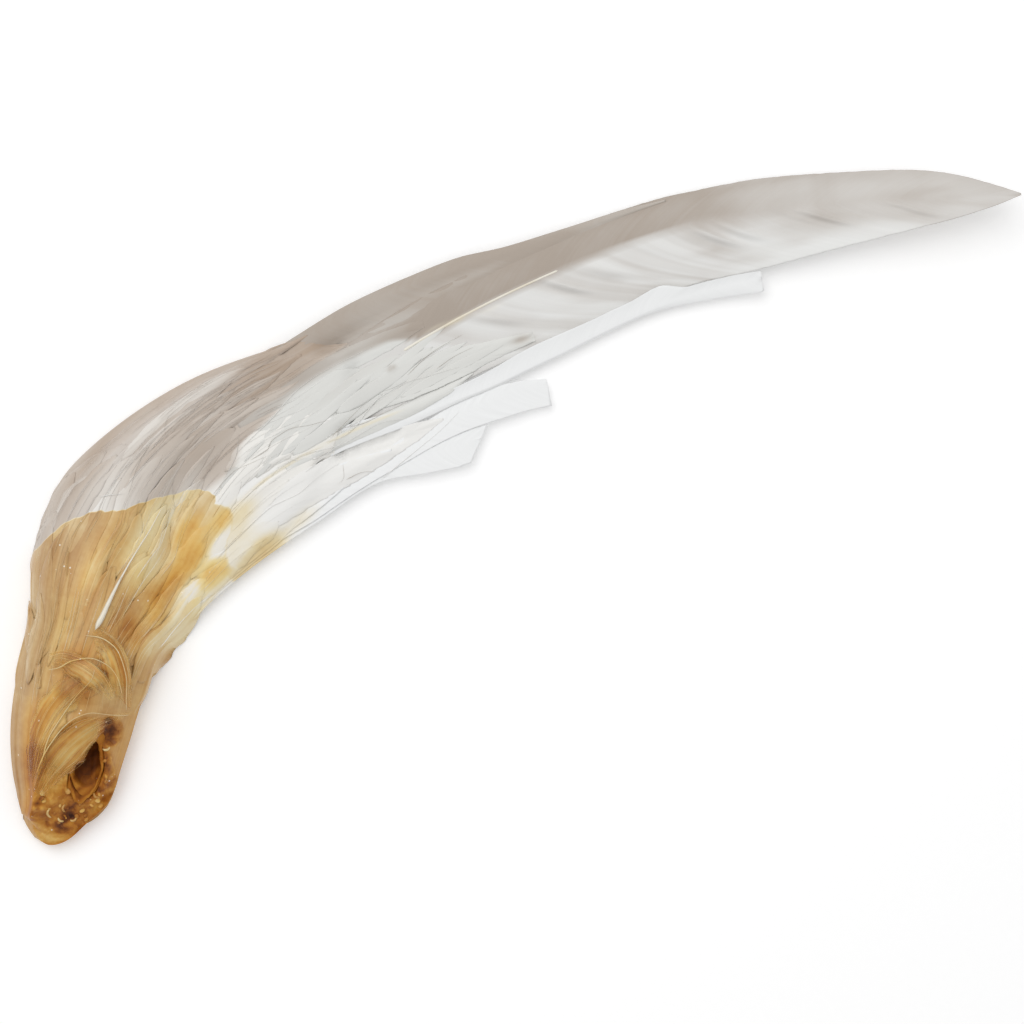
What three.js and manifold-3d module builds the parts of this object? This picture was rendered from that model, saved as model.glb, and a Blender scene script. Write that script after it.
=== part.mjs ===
// A goose's wing tip, cut off at the wrist and dried, lying underwing side up.
// It is built in millimetres with +Z up, resting on Z = 0, and its long side runs along +X.
//
// Every piece is laid out along one curved spine that runs from the cut end to the tip of the
// longest quill: s is the distance along the spine, d is the distance to its side (plus is the
// leading edge, minus the trailing edge) and z is the height above the surface it lies on.
import * as THREE from "three";
import { mergeVertices } from "three/addons/utils/BufferGeometryUtils.js";
import Module from "manifold-3d";

const wasm = await Module();
wasm.setup();

// ---- driving dimensions -------------------------------------------------------------------
const SPINE_CORNERS = [[-24, -16], [11, -16], [28, 182], [385, -3]];
const VANE = 0.4; // thickness of a vane
const SHAFT = 0.64; // thickness of a vane with its shaft
const SHAFT_HALF_WIDTH = 0.9;
const LAYER = 1.02; // from one feather's underside to the next one's
const SOCKET_GAP = 0.35; // between a quill and the pocket it sits in
const FEATHER_STEP = 14; // spacing of a feather's cross-sections
const BONE_RADIUS = 6.1;
const BONE_HOLLOW_RADIUS = 4.6;
const BONE_LENGTH = 50;

// Colours and finishes of the real surfaces.
const FINISH = {
  quill: { color: 0xe9e7e3, roughness: 0.62 },
  covert: { color: 0xe2ded9, roughness: 0.68 },
  stained: { color: 0xd9ae6c, roughness: 0.45 },
  hide: { color: 0xc98a45, roughness: 0.4 },
  bone: { color: 0xa9713a, roughness: 0.5 },
};

// ---- curves -------------------------------------------------------------------------------
const spine = new THREE.CubicBezierCurve(...SPINE_CORNERS.map((p) => new THREE.Vector2(...p)));
spine.arcLengthDivisions = 2000;
const SPINE_LENGTH = spine.getLength();

// The point at distance s along the spine, d to its side and z up. Past either end the spine
// goes straight on.
function place(s, d, z) {
  const inside = THREE.MathUtils.clamp(s, 0, SPINE_LENGTH);
  const at = spine.getPointAt(inside / SPINE_LENGTH);
  const along = spine.getTangentAt(inside / SPINE_LENGTH);
  at.addScaledVector(along, s - inside);
  return new THREE.Vector3(at.x - along.y * d, at.y + along.x * d, z);
}

// A smooth curve through the rows [x, y] of a table, read at x. It never swings past its rows.
function smooth(table, x) {
  const last = table.length - 1;
  const rise = (i) => (table[i + 1][1] - table[i][1]) / (table[i + 1][0] - table[i][0]);
  const slope = (i) => {
    const before = rise(Math.max(i - 1, 0));
    const after = rise(Math.min(i, last - 1));
    return before * after > 0 ? (2 * before * after) / (before + after) : 0;
  };
  const held = THREE.MathUtils.clamp(x, table[0][0], table[last][0]);
  let i = 0;
  while (i < last - 1 && table[i + 1][0] < held) i += 1;
  const width = table[i + 1][0] - table[i][0];
  const t = (held - table[i][0]) / width;
  return (
    table[i][1] * (1 + 2 * t) * (1 - t) ** 2 +
    slope(i) * width * t * (1 - t) ** 2 +
    table[i + 1][1] * t * t * (3 - 2 * t) +
    slope(i + 1) * width * t * t * (t - 1)
  );
}

const column = (rows, k) => rows.map((row) => [row[0], row[k]]);
const smoothMax = (a, b, soft) => (a + b + Math.hypot(a - b, soft)) / 2;

// ---- the hand: skin and flesh over the bones ------------------------------------------------
// [s, centre line's d, half width, height of its side wall, height of its crown, underside]
const HAND = [
  [-3, 8, 3.5, 3, 1, 0],
  [0, 7.6, 8, 5, 2.5, 0],
  [5, 6, 10.2, 6, 5, 0],
  [10, 4.5, 11.8, 7, 8, 0],
  [20, 1.5, 16.7, 8, 12, 0],
  [30, 1.4, 19.2, 8, 14, 0],
  [45, 0.6, 21.5, 8, 15, 0],
  [60, -0.5, 22.5, 8, 15, 0],
  [75, -1.5, 23, 8, 14, 0],
  [90, 3.5, 22.6, 7, 13, 1.5],
  [105, 9.3, 20.8, 6, 12, 1.5],
  [120, 12.5, 18.6, 5.5, 10.5, 1.5],
  [130, 13, 16.3, 5, 9, 1.5],
  [160, 12.3, 10, 3.5, 5, 1.5],
  [190, 10, 3.5, 2.5, 1.5, 1.5],
];
const hand = (k, s) => smooth(column(HAND, k), s);

// Height of the hand's back at (s, d): a side wall with a cosine crown on it.
function handTop(s, d) {
  const across = THREE.MathUtils.clamp((d - hand(1, s)) / hand(2, s), -1.8, 1.8);
  return hand(5, s) + hand(3, s) + hand(4, s) * Math.cos((across * Math.PI) / 2);
}

// ---- the surfaces that feathers lie on ------------------------------------------------------
// Height of the longest quill's underside along the spine, before its camber.
const MAIN_HEIGHT = [[0, 6.4], [225, 6.4], [285, 4.9], [330, 4.2], [380, 6.2], [457, 15]];
const LEADING_DROP = 0.01; // per square millimetre
const TRAILING_DROP = 1.5;
const CAMBER_CENTRE = -2;
const TRAILING_REACH = 30;
const TIP_TWIST = [[0, 0], [340, 0], [440, 0.35], [457, 0.38]]; // rise per millimetre of -d

function quillSurface(s, d) {
  const side = d - CAMBER_CENTRE;
  const reach = THREE.MathUtils.clamp(-side / TRAILING_REACH, 0, 1);
  const trailing = TRAILING_DROP * reach * reach * (3 - 2 * reach);
  const camber = side > 0 ? LEADING_DROP * side * side : trailing;
  return smooth(MAIN_HEIGHT, s) - camber - smooth(TIP_TWIST, s) * side;
}

// Coverts lie on the hand and, beyond it, on the quills.
const COVERT_SOFTNESS = 3;
const covertSurface = (s, d) =>
  smoothMax(handTop(s, d) + 0.5, quillSurface(s, d) + LAYER + SHAFT + 0.4, COVERT_SOFTNESS);

// The slanting cut through the wrist: a plane through CUT_POINT, tilted back towards the cut end
// and the trailing edge.
const CUT_POINT = [30, -5, 14.5];
const CUT_SLOPE_S = 0.42;
const CUT_SLOPE_D = 0.4;
const cutHeight = (s, d) =>
  CUT_POINT[2] + CUT_SLOPE_S * (s - CUT_POINT[0]) + CUT_SLOPE_D * (d - CUT_POINT[1]);
const RECESS = [43.6, -13.3, 17]; // a pit in the dried flesh at the upper rim of the cut
const RECESS_RADIUS = 4;
const tuftSurface = (s, d) =>
  -smoothMax(-handTop(s, d), -cutHeight(s, d) - 0.8, 2) + 1.6;

// Feathers of the back of the wing lie flat on the ground under everything else.
const backSurface = () => 0;

// ---- feathers -------------------------------------------------------------------------------
// Each row of points is [s, d, vane width on the leading side, vane width on the trailing side]
// from quill to tip. lift is how many layers the quill and the tip lie above the surface, and
// slant is how far a clipped end leans forward for each millimetre of width.
const QUILLS = {
  primary_main: {
    lift: [0, 0],
    points: [
      [96, -4, 0.9, 0.9], [130, -11, 0.9, 0.9], [150, -13.5, 5, 6], [180, -13.5, 10, 12],
      [210, -11.5, 13, 17], [241, -7.3, 13, 20], [281, -1.7, 12, 22], [320, 3.3, 12.2, 21.5],
      [345, 5.2, 11.7, 21], [365, 5.2, 12, 20.4], [385, 4.5, 11.5, 17.8], [400, 3.5, 11.3, 15.2],
      [420, 2.3, 10.5, 11.5], [435, 1, 8.3, 8], [448, 0, 4, 4], [457, -0.6, 0.4, 0.4],
    ],
  },
  primary_outer: {
    lift: [1, 1],
    points: [
      [172, 10, 0.9, 0.9], [186, 10.3, 2.5, 5], [200, 10.8, 2.5, 9], [225, 11.5, 3.2, 11],
      [241, 11.5, 3.4, 12], [260, 11.2, 4, 8.5], [279, 11.3, 2.2, 5], [299, 12.2, 1.7, 2.8],
      [320, 14, 1.3, 1.2], [336, 15.3, 0.4, 0.4],
    ],
  },
  primary_third: {
    lift: [1, 1],
    points: [
      [86, -12, 0.9, 0.9], [125, -20.5, 1.5, 1.5], [161, -22.6, 3, 4], [196, -26, 4, 4],
      [228, -30.7, 3, 2.5], [252, -31.6, 4.6, 1], [281, -28.8, 6.4, 0.9], [300, -25.6, 5.6, 0.9],
      [316, -22.5, 5.5, 1], [328, -20.3, 6.5, 1.8], [338, -19.3, 3.2, 2.8],
      [352, -18.6, 3.2, 3.8], [364, -18.2, 2.6, 4.8],
    ],
  },
  primary_fourth: {
    lift: [-1, -1],
    points: [
      [80, -15, 0.9, 0.9], [120, -32, 1.5, 2], [150, -38.5, 3, 3], [173, -41.5, 4, 3],
      [205, -42, 5, 2.5], [230, -39.3, 5, 4], [247, -36.2, 4, 7], [262, -34.8, 2.5, 9],
      [278.5, -36.5, 1.4, 8.4],
    ],
  },
  primary_fifth: {
    lift: [-2, -2],
    slant: 0.9,
    points: [
      [72, -19, 1, 4], [100, -28.5, 2.5, 4.6], [140, -37, 4, 4.8], [170, -41, 4.5, 4.4],
      [200, -43, 5, 2.8], [222, -44.8, 5, 6.4], [236, -46, 4.6, 7.9], [247, -47.3, 4, 7.6],
    ],
  },
  primary_sixth: {
    lift: [0, 0],
    points: [
      [70, -17, 0.9, 0.9], [108, -30, 3, 3.5], [149, -36.5, 4.5, 4.5], [175, -38, 4.5, 4],
      [190, -38, 2.6, 2.6], [198, -38, 0.5, 0.5],
    ],
  },
  primary_seventh: {
    lift: [1, 1],
    points: [
      [66, -13, 0.9, 0.9], [100, -24.5, 2.5, 3.5], [135, -29.8, 3, 5], [165, -32, 2.5, 5],
      [190, -35, 2, 3.5], [212, -38, 0.5, 0.5],
    ],
  },
};

const COVERTS = {
  covert_greater_1: {
    lift: [3.1, 2.2],
    points: [
      [148, -14, 0.8, 0.8], [156, -13.7, 3, 3], [166, -13.2, 6, 7], [180, -13, 7, 9.5],
      [195, -12.2, 7.4, 10], [206, -11.7, 8, 9.5], [216, -12, 5, 6], [227, -12.6, 1.8, 2],
    ],
  },
  covert_greater_2: {
    lift: [1, 0.3],
    points: [
      [168, -2, 0.8, 0.8], [185, -1.8, 2, 4], [205, -1.5, 3, 6], [228, -2, 2.5, 5],
      [243, -2.4, 1.5, 1.7],
    ],
  },
  covert_greater_3: {
    lift: [4.1, 3.3],
    points: [
      [165, -16, 0.6, 0.6], [174, -16.3, 2.6, 2.6], [186, -17.6, 3, 3.6], [198, -19.4, 2, 2],
      [207, -20.8, 0.4, 0.4],
    ],
  },
  covert_greater_4: {
    lift: [1.3, 0.6],
    points: [
      [188, -19, 0.8, 0.8], [213, -19.4, 2.5, 4], [232, -20, 5, 5.6], [248, -20.4, 6, 5],
      [264, -20.2, 4, 3], [279, -19.8, 2, 1.7],
    ],
  },
  covert_greater_5: {
    lift: [0, 0],
    points: [
      [172, -24, 0.8, 0.8], [200, -26.6, 2.4, 2.6], [225, -28, 2.5, 2.6], [242, -27, 2, 1.8],
      [253, -24.8, 0.4, 0.4],
    ],
  },
  covert_greater_6: {
    lift: [0, 0],
    points: [
      [108, -23, 0.8, 0.8], [130, -27, 4, 5], [160, -31, 5, 8], [195, -34, 4.5, 8],
      [222, -35.5, 3, 4.5], [236, -36, 0.5, 0.5],
    ],
  },
  covert_greater_7: {
    lift: [0.7, 0.7],
    points: [
      [96, -14, 0.8, 0.8], [115, -17, 4, 5], [135, -19.5, 5, 6.5], [155, -21, 3.5, 5],
      [170, -21.6, 0.5, 0.5],
    ],
  },
  covert_median_1: {
    lift: [3.6, 2.6],
    points: [
      [79, -3.6, 0.8, 0.8], [97, -4.1, 1, 1], [110, -3.8, 4.5, 5.5], [130, -2, 6.5, 8.5],
      [150, 0.2, 5, 7], [164, 1.2, 2.6, 3.6], [173, 1.6, 0.4, 0.4],
    ],
  },
  covert_median_2: {
    lift: [2.1, 2.1],
    points: [
      [84, -10, 0.8, 0.8], [100, -11.5, 4, 4.5], [125, -13, 5, 6], [145, -13.4, 4, 5],
      [160, -12.6, 0.4, 0.4],
    ],
  },
  covert_median_3: {
    lift: [1.9, 0.9],
    points: [
      [96, 4, 0.8, 0.8], [120, 5, 5, 5], [150, 6.5, 6, 6], [180, 7, 4.5, 5],
      [200, 6.5, 0.5, 0.5],
    ],
  },
};

COVERTS.alula = {
  lift: [0.4, 0.4],
  points: [[56, 12, 0.8, 0.8], [64, 16, 2.4, 2.6], [72, 20, 2.8, 2.8], [81, 24.6, 0.6, 0.6]],
};

const MARGINAL_COUNT = 5;
const MARGINAL_SPACING = 22;
const MARGINAL_LENGTH = 46;
const MARGINAL_START = 71;
const MARGINAL_INSET = 0.42; // of the hand's half width, from its centre towards the leading edge
for (let i = 0; i < MARGINAL_COUNT; i += 1) {
  const from = MARGINAL_START + i * MARGINAL_SPACING;
  const side = (s) => hand(1, s) + MARGINAL_INSET * hand(2, s);
  const width = (s) => 0.46 * hand(2, s);
  const at = (share, w) => {
    const s = from + share * MARGINAL_LENGTH;
    return [s, side(s), w * width(s), w * width(s)];
  };
  COVERTS[`covert_marginal_${i + 1}`] = {
    lift: [2.6, 5.1],
    points: [at(0, 0.12), at(0.2, 0.75), at(0.5, 1), at(0.8, 0.8), at(0.93, 0.45), at(1, 0.1)],
  };
}

// Small stuck feathers that curl over the cut.
const TUFTS = {
  tuft_leaf: {
    lift: [0.2, 0.2],
    points: [
      [20, 8.6, 0.8, 0.8], [28, 6, 3, 3.4], [36, 1.4, 4.6, 5], [43, -5, 3.6, 4.4],
      [48.6, -13, 1.3, 2.1], [51.4, -20, 0.4, 0.4],
    ],
  },
  tuft_rib: {
    lift: [1.2, 1.2],
    points: [
      [26, 10.5, 0.7, 0.7], [36, 9.6, 4, 3], [47, 6, 5.6, 4], [56, 0.6, 5, 4],
      [63, -5.4, 0.4, 0.4],
    ],
  },
  tuft_fan: {
    lift: [3.6, 3.6],
    points: [
      [80, -3, 0.8, 0.8], [78.6, -9, 0.8, 6.5], [73.5, -14.4, 0.8, 8.6], [65, -18, 0.6, 7],
      [53.5, -19.6, 0.4, 0.4],
    ],
  },
  tuft_arch: {
    lift: [2.3, 2.3],
    points: [
      [66, 9.4, 0.6, 0.6], [67.6, 5, 1.8, 2.4], [66.4, -1.6, 2.4, 4], [63, -8.6, 2, 3.6],
      [56.6, -14, 0.4, 0.4],
    ],
  },
};

// Feathers of the wing's back, side by side under the rest.
const BACKS = {};
const BACK_COUNT = 5;
const BACK_HALF_WIDTH = 4.5;
const BACK_ROOT = [93, 14]; // s and d of the first quill
const BACK_TIP = [176, 6];
for (let i = 0; i < BACK_COUNT; i += 1) {
  const [rootS, rootD] = [BACK_ROOT[0] + 2 * i, BACK_ROOT[1] - 8.6 * i];
  const [tipS, tipD] = [BACK_TIP[0] + 9 * i, BACK_TIP[1] - 11.4 * i];
  const at = (share, w) => [
    THREE.MathUtils.lerp(rootS, tipS, share),
    THREE.MathUtils.lerp(rootD, tipD, share),
    w * BACK_HALF_WIDTH,
    w * BACK_HALF_WIDTH,
  ];
  BACKS[`back_covert_${i + 1}`] = {
    lift: [0, 0],
    points: [at(0, 0.15), at(0.15, 0.6), at(0.4, 0.82), at(0.75, 1), at(0.93, 0.7), at(1, 0.2)],
  };
}

// One feather as a closed plate: a thin vane on each side of a thicker shaft, laid over a
// surface. grow makes it larger on every side, for the pocket that it sits in.
function featherGeometry({ points, lift, slant = 0 }, surface, grow = 0) {
  const run = [0];
  for (let i = 1; i < points.length; i += 1) {
    const [from, to] = [points[i - 1], points[i]];
    run.push(run[i - 1] + Math.hypot(to[0] - from[0], to[1] - from[1]));
  }
  const read = (k, x) => smooth(points.map((p, i) => [run[i], p[k]]), x);
  const length = run[run.length - 1];
  const count = Math.max(8, Math.round(length / FEATHER_STEP));
  const position = [];
  for (let j = 0; j <= count; j += 1) {
    const x = (length * j) / count;
    const ahead = Math.min(x + 0.5, length);
    const heading = Math.atan2(
      read(1, ahead) - read(1, ahead - 1),
      read(0, ahead) - read(0, ahead - 1),
    );
    const leading = Math.max(read(2, x), 0.35) + grow;
    const trailing = Math.max(read(3, x), 0.35) + grow;
    const shaft = Math.min(SHAFT_HALF_WIDTH, 0.6 * leading, 0.6 * trailing) + grow;
    const raised = LAYER * THREE.MathUtils.lerp(lift[0], lift[1], x / length);
    const [inner, outer] = [Math.min(shaft, 0.8 * leading), Math.min(shaft, 0.8 * trailing)];
    const across = [leading, inner, 0, -outer, -trailing];
    const lean = j === count ? slant : 0;
    const end = j === 0 ? -grow : j === count ? grow : 0;
    const corner = (y, up) => {
      const s = read(0, x) - Math.sin(heading) * y + Math.cos(heading) * (lean * y + end);
      const d = read(1, x) + Math.cos(heading) * y + Math.sin(heading) * (lean * y + end);
      return place(s, d, surface(s, d) + raised + up);
    };
    const tops = [VANE, VANE, SHAFT, VANE, VANE].map((up, i) => corner(across[i], up + grow));
    const bottoms = across.map((y) => corner(y, -grow)).reverse();
    position.push(...tops, ...bottoms);
  }
  return loft(position, 10);
}

// A closed surface through equal rings of points. Its two ends are closed by a zigzag of
// triangles, which keeps them well shaped where a ring is long and thin.
function loft(points, ring) {
  const rings = points.length / ring;
  const index = [];
  for (let j = 0; j < rings - 1; j += 1) {
    for (let i = 0; i < ring; i += 1) {
      const a = j * ring + i;
      const b = j * ring + ((i + 1) % ring);
      index.push(a, b, a + ring, b, b + ring, a + ring);
    }
  }
  const end = (rings - 1) * ring;
  const cap = (a, b, c) => index.push(a, c, b, end + a, end + b, end + c);
  let low = 0;
  let high = ring - 1;
  while (high - low > 1) {
    cap(low, low + 1, high);
    low += 1;
    if (high - low > 1) {
      cap(low, high - 1, high);
      high -= 1;
    }
  }
  const geometry = new THREE.BufferGeometry().setFromPoints(points);
  geometry.setIndex(index);
  return geometry;
}

// ---- booleans -------------------------------------------------------------------------------
function solidOf(geometry) {
  const bare = geometry.clone();
  bare.deleteAttribute("normal");
  bare.deleteAttribute("uv");
  const merged = mergeVertices(bare, 1e-4);
  return new wasm.Manifold(
    new wasm.Mesh({
      numProp: 3,
      vertProperties: merged.attributes.position.array,
      triVerts: new Uint32Array(merged.index.array),
    }),
  );
}

function geometryOf(solid) {
  const { numProp, numVert, vertProperties, triVerts } = solid.getMesh();
  const xyz = new Float32Array(numVert * 3);
  for (let i = 0; i < numVert; i += 1) {
    xyz.set(vertProperties.subarray(i * numProp, i * numProp + 3), i * 3);
  }
  const geometry = new THREE.BufferGeometry();
  geometry.setAttribute("position", new THREE.BufferAttribute(xyz, 3));
  geometry.setIndex(new THREE.BufferAttribute(triVerts, 1));
  geometry.computeVertexNormals();
  return geometry;
}

// ---- the hand's solid -----------------------------------------------------------------------
// A loaf: a flat underside, rounded lower edges, side walls and a cosine crown.
const CROWN_POINTS = 13;
const FLAT_SHARE = 0.72; // of the half width
function handGeometry() {
  const stations = [];
  for (let s = -3; s <= 190; s += s < 30 ? 3 : 8) stations.push(s);
  stations.push(190);
  const points = [];
  for (const s of [...new Set(stations)]) {
    const [centre, half, wall, under] = [hand(1, s), hand(2, s), hand(3, s), hand(5, s)];
    for (let i = 0; i < CROWN_POINTS; i += 1) {
      const d = centre + half * Math.cos((Math.PI * i) / (CROWN_POINTS - 1));
      points.push(place(s, d, handTop(s, d)));
    }
    points.push(place(s, centre - half, under + 0.45 * wall));
    points.push(place(s, centre - 0.93 * half, under + 0.14 * wall));
    points.push(place(s, centre - FLAT_SHARE * half, under));
    points.push(place(s, centre + FLAT_SHARE * half, under));
    points.push(place(s, centre + 0.93 * half, under + 0.14 * wall));
    points.push(place(s, centre + half, under + 0.45 * wall));
  }
  return loft(points, CROWN_POINTS + 6);
}

// A box that fills everything above the slanting cut, raised by `above`.
const CUT_END_S = 52; // the cut runs out through the hand's back before this
function cutTool(above) {
  const reach = 46;
  const corner = (s, d, up) => place(s, d, cutHeight(s, d) + above + up);
  const sides = [[-14, -reach], [-14, reach], [CUT_END_S, reach], [CUT_END_S, -reach]];
  const low = sides.map(([s, d]) => corner(s, d, 0));
  const high = sides.map(([s, d]) => corner(s, d, 60));
  return loft([...low.reverse(), ...high.reverse()], 4);
}

// The bone's tube: a lathe about Y, turned to point into the hand. Its start is in the air, and the
// slanting cut takes that end off.
const BONE_START = [9, -7.2, 16.2];
const BONE_AIM = [59, -5.4, 9.2];
function alongBone(geometry) {
  const from = place(...BONE_START);
  const to = place(...BONE_AIM);
  const turn = new THREE.Quaternion();
  turn.setFromUnitVectors(new THREE.Vector3(0, 1, 0), to.sub(from).normalize());
  return geometry.applyQuaternion(turn).translate(from.x, from.y, from.z);
}
function ring(inner, outer, length, sides) {
  const profile = [[inner, 0], [outer, 0], [outer, length], [inner, length], [inner, 0]];
  return alongBone(new THREE.LatheGeometry(profile.map((p) => new THREE.Vector2(...p)), sides));
}
const rod = (radius, length, sides) =>
  alongBone(new THREE.CylinderGeometry(radius, radius, length, sides).translate(0, length / 2, 0));

// ---- assembly -------------------------------------------------------------------------------
const wing = new THREE.Group();
wing.name = "goose_wing_tip";

function addMesh(name, geometry, finish) {
  geometry.computeVertexNormals();
  const material = new THREE.MeshStandardMaterial({ ...FINISH[finish], metalness: 0 });
  const mesh = new THREE.Mesh(geometry, material);
  mesh.name = name;
  wing.add(mesh);
}

const BONE_SIDES = 20;
const BONE_BORE = BONE_RADIUS + SOCKET_GAP;
const recess = new THREE.SphereGeometry(RECESS_RADIUS, 16, 10).scale(1.15, 1, 1);
recess.translate(...place(...RECESS).toArray());
let handSolid = solidOf(handGeometry())
  .subtract(solidOf(cutTool(0)))
  .subtract(solidOf(recess))
  .subtract(solidOf(rod(BONE_BORE, BONE_LENGTH + SOCKET_GAP, BONE_SIDES)));
for (const row of Object.values(QUILLS)) {
  handSolid = handSolid.subtract(solidOf(featherGeometry(row, quillSurface, SOCKET_GAP)));
}
const BONE_PROUD = 0.9; // the bone's end stands this far above the cut flesh
const boneSolid = solidOf(ring(BONE_HOLLOW_RADIUS, BONE_RADIUS, BONE_LENGTH, BONE_SIDES)).subtract(
  solidOf(cutTool(BONE_PROUD)),
);
addMesh("hand", geometryOf(handSolid), "hide");
addMesh("cut_bone", geometryOf(boneSolid), "bone");

const FEATHER_SETS = [
  [QUILLS, quillSurface, "quill"],
  [COVERTS, covertSurface, "covert"],
  [TUFTS, tuftSurface, "stained"],
  [BACKS, backSurface, "covert"],
];
for (const [feathers, surface, finish] of FEATHER_SETS) {
  for (const [name, row] of Object.entries(feathers)) {
    addMesh(name, featherGeometry(row, surface), finish);
  }
}

export default wing;
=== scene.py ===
# %% [markdown]
# # A dried goose wing tip
#
# This lesson builds the outer end of a goose's wing, cut off at the wrist, dried, and laid down
# underwing side up. Its root is soaked in amber grease, and its outer half is clean, pale vane.
# Every part is a surface worked out with numpy in millimetres and put into a mesh in metres.
# The CAD model gives the frame, the places and the overall size.

import math

import bpy
import numpy as np
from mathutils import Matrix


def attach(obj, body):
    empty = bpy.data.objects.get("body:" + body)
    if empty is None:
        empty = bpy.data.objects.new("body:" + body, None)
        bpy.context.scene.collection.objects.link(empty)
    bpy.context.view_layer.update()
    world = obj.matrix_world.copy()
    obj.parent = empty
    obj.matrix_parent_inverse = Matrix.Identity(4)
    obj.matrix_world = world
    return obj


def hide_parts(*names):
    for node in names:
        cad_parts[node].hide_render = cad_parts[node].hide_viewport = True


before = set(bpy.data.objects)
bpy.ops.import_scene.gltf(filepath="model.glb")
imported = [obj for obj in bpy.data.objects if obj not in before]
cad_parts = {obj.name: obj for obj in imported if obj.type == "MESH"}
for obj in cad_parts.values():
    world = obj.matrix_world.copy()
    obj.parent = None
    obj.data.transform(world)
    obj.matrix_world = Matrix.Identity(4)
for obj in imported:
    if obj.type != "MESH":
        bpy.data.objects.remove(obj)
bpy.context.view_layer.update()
MM = 0.001
print("nodes in the frame:", len(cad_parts))

# %% [markdown]
# ## One curve carries everything
#
# A wing tip bends like a bow, so straight coordinates are awkward. Instead, one curve runs from
# the cut end to the tip. A point is given by s, the distance along that curve, d, the distance to
# its side (plus is the leading edge), and z, the height. A Bezier curve was chosen because four
# corners describe the whole bend. It is walked in small steps once, and read by interpolation.

# %% The spine
SPINE_CORNERS = np.array([[-24.0, -16.0], [11.0, -16.0], [28.0, 182.0], [385.0, -3.0]])
share = np.linspace(0.0, 1.0, 4001)[:, None]
spine_xy = (
    SPINE_CORNERS[0] * (1 - share) ** 3
    + SPINE_CORNERS[1] * 3 * share * (1 - share) ** 2
    + SPINE_CORNERS[2] * 3 * share**2 * (1 - share)
    + SPINE_CORNERS[3] * share**3
)
spine_step = np.linalg.norm(np.diff(spine_xy, axis=0), axis=1)
spine_s = np.concatenate([[0.0], np.cumsum(spine_step)])
spine_along = np.gradient(spine_xy, spine_s, axis=0)
spine_along /= np.linalg.norm(spine_along, axis=1, keepdims=True)
SPINE_LENGTH = spine_s[-1]


def place(s, d, z):
    """The point at (s, d, z): the spine's point at s, plus d times its left normal, z up."""
    held = np.clip(s, 0.0, SPINE_LENGTH)
    x, y = (np.interp(held, spine_s, spine_xy[:, k]) for k in (0, 1))
    ax, ay = (np.interp(held, spine_s, spine_along[:, k]) for k in (0, 1))
    past = s - held
    return np.stack([x + past * ax - d * ay, y + past * ay + d * ax, z + 0 * x], axis=-1)


def smooth(table, x):
    """A cubic through the rows (x, y) of a table that never swings past its rows."""
    xs, ys = np.array(table, float).T
    rise = np.diff(ys) / np.diff(xs)
    before = np.concatenate([rise[:1], rise])
    after = np.concatenate([rise, rise[-1:]])
    both = before * after
    slope = np.where(both > 0, 2 * both / np.where(both > 0, before + after, 1.0), 0.0)
    x = np.clip(x, xs[0], xs[-1])
    i = np.clip(np.searchsorted(xs, x, side="right") - 1, 0, len(xs) - 2)
    width = xs[i + 1] - xs[i]
    t = (x - xs[i]) / width
    return (
        ys[i] * (1 + 2 * t) * (1 - t) ** 2
        + slope[i] * width * t * (1 - t) ** 2
        + ys[i + 1] * t * t * (3 - 2 * t)
        + slope[i + 1] * width * t * t * (t - 1)
    )


def step(low, high, x):
    """A soft step: 0 below low, 1 above high, and an S-shaped rise between them."""
    t = np.clip((x - low) / (high - low), 0.0, 1.0)
    return t * t * (3 - 2 * t)


def bump(x, centre, width):
    """A bell of height 1 at centre."""
    return np.exp(-(((x - centre) / width) ** 2))


def spot(s, d, at_s, at_d, length, width):
    """A bell of height 1 at (at_s, at_d), longer along s than across it."""
    return np.exp(-(((s - at_s) / length) ** 2) - ((d - at_d) / width) ** 2)


def spots(s, d, rows, k=4):
    """The bells of all rows (s, d, length, width, ...) together, each times its number k."""
    return sum(row[k] * spot(s, d, *row[:4]) for row in rows)


def soft_max(a, b, soft):
    """The larger of two heights, with the crease between them rounded."""
    return (a + b + np.hypot(a - b, soft)) / 2


def wobble(x, period, seed):
    """Smooth random values between -1 and 1: random heights every period, joined by S-curves."""
    heights = np.random.default_rng(seed).uniform(-1, 1, 4096)
    at = np.asarray(x) / period + 512.0
    i = np.floor(at).astype(int)
    t = at - i
    t = t * t * (3 - 2 * t)
    return heights[i % 4096] * (1 - t) + heights[(i + 1) % 4096] * t


print(f"spine length {SPINE_LENGTH:.1f} mm")

# %% [markdown]
# ## The surfaces that things lie on
#
# Feathers in a wing lie in layers. Each layer follows a common surface: the hand's back near the
# cut end, and the longest quill's camber further out. These are the same functions and sizes as
# the CAD model's, so each feather here lands where its CAD plate lies.

# %% The hand, the quills and the cut
LAYER = 1.02  # from one quill's underside to the next one's in the CAD model
STACK = 0.45  # the same where the real, thinner vanes cling together
SHAFT_HEIGHT = 0.64
HAND = np.array([  # s, centre's d, half width, side wall, crown, underside
    [-3, 8, 3.5, 3, 1, 0],
    [0, 7.6, 8, 5, 2.5, 0],
    [5, 6, 10.2, 6, 5, 0],
    [10, 4.5, 11.8, 7, 8, 0],
    [20, 1.5, 16.7, 8, 12, 0],
    [30, 1.4, 19.2, 8, 14, 0],
    [45, 0.6, 21.5, 8, 15, 0],
    [60, -0.5, 22.5, 8, 15, 0],
    [75, -1.5, 23, 8, 14, 0],
    [90, 3.5, 22.6, 7, 13, 1.5],
    [105, 9.3, 20.8, 6, 12, 1.5],
    [120, 12.5, 18.6, 5.5, 10.5, 1.5],
    [130, 13, 16.3, 5, 9, 1.5],
    [160, 12.3, 10, 3.5, 5, 1.5],
    [190, 10, 3.5, 2.5, 1.5, 1.5],
])
QUILL_HEIGHT = [[0, 6.4], [225, 6.4], [285, 4.9], [330, 4.2], [380, 6.2], [457, 15]]
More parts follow.
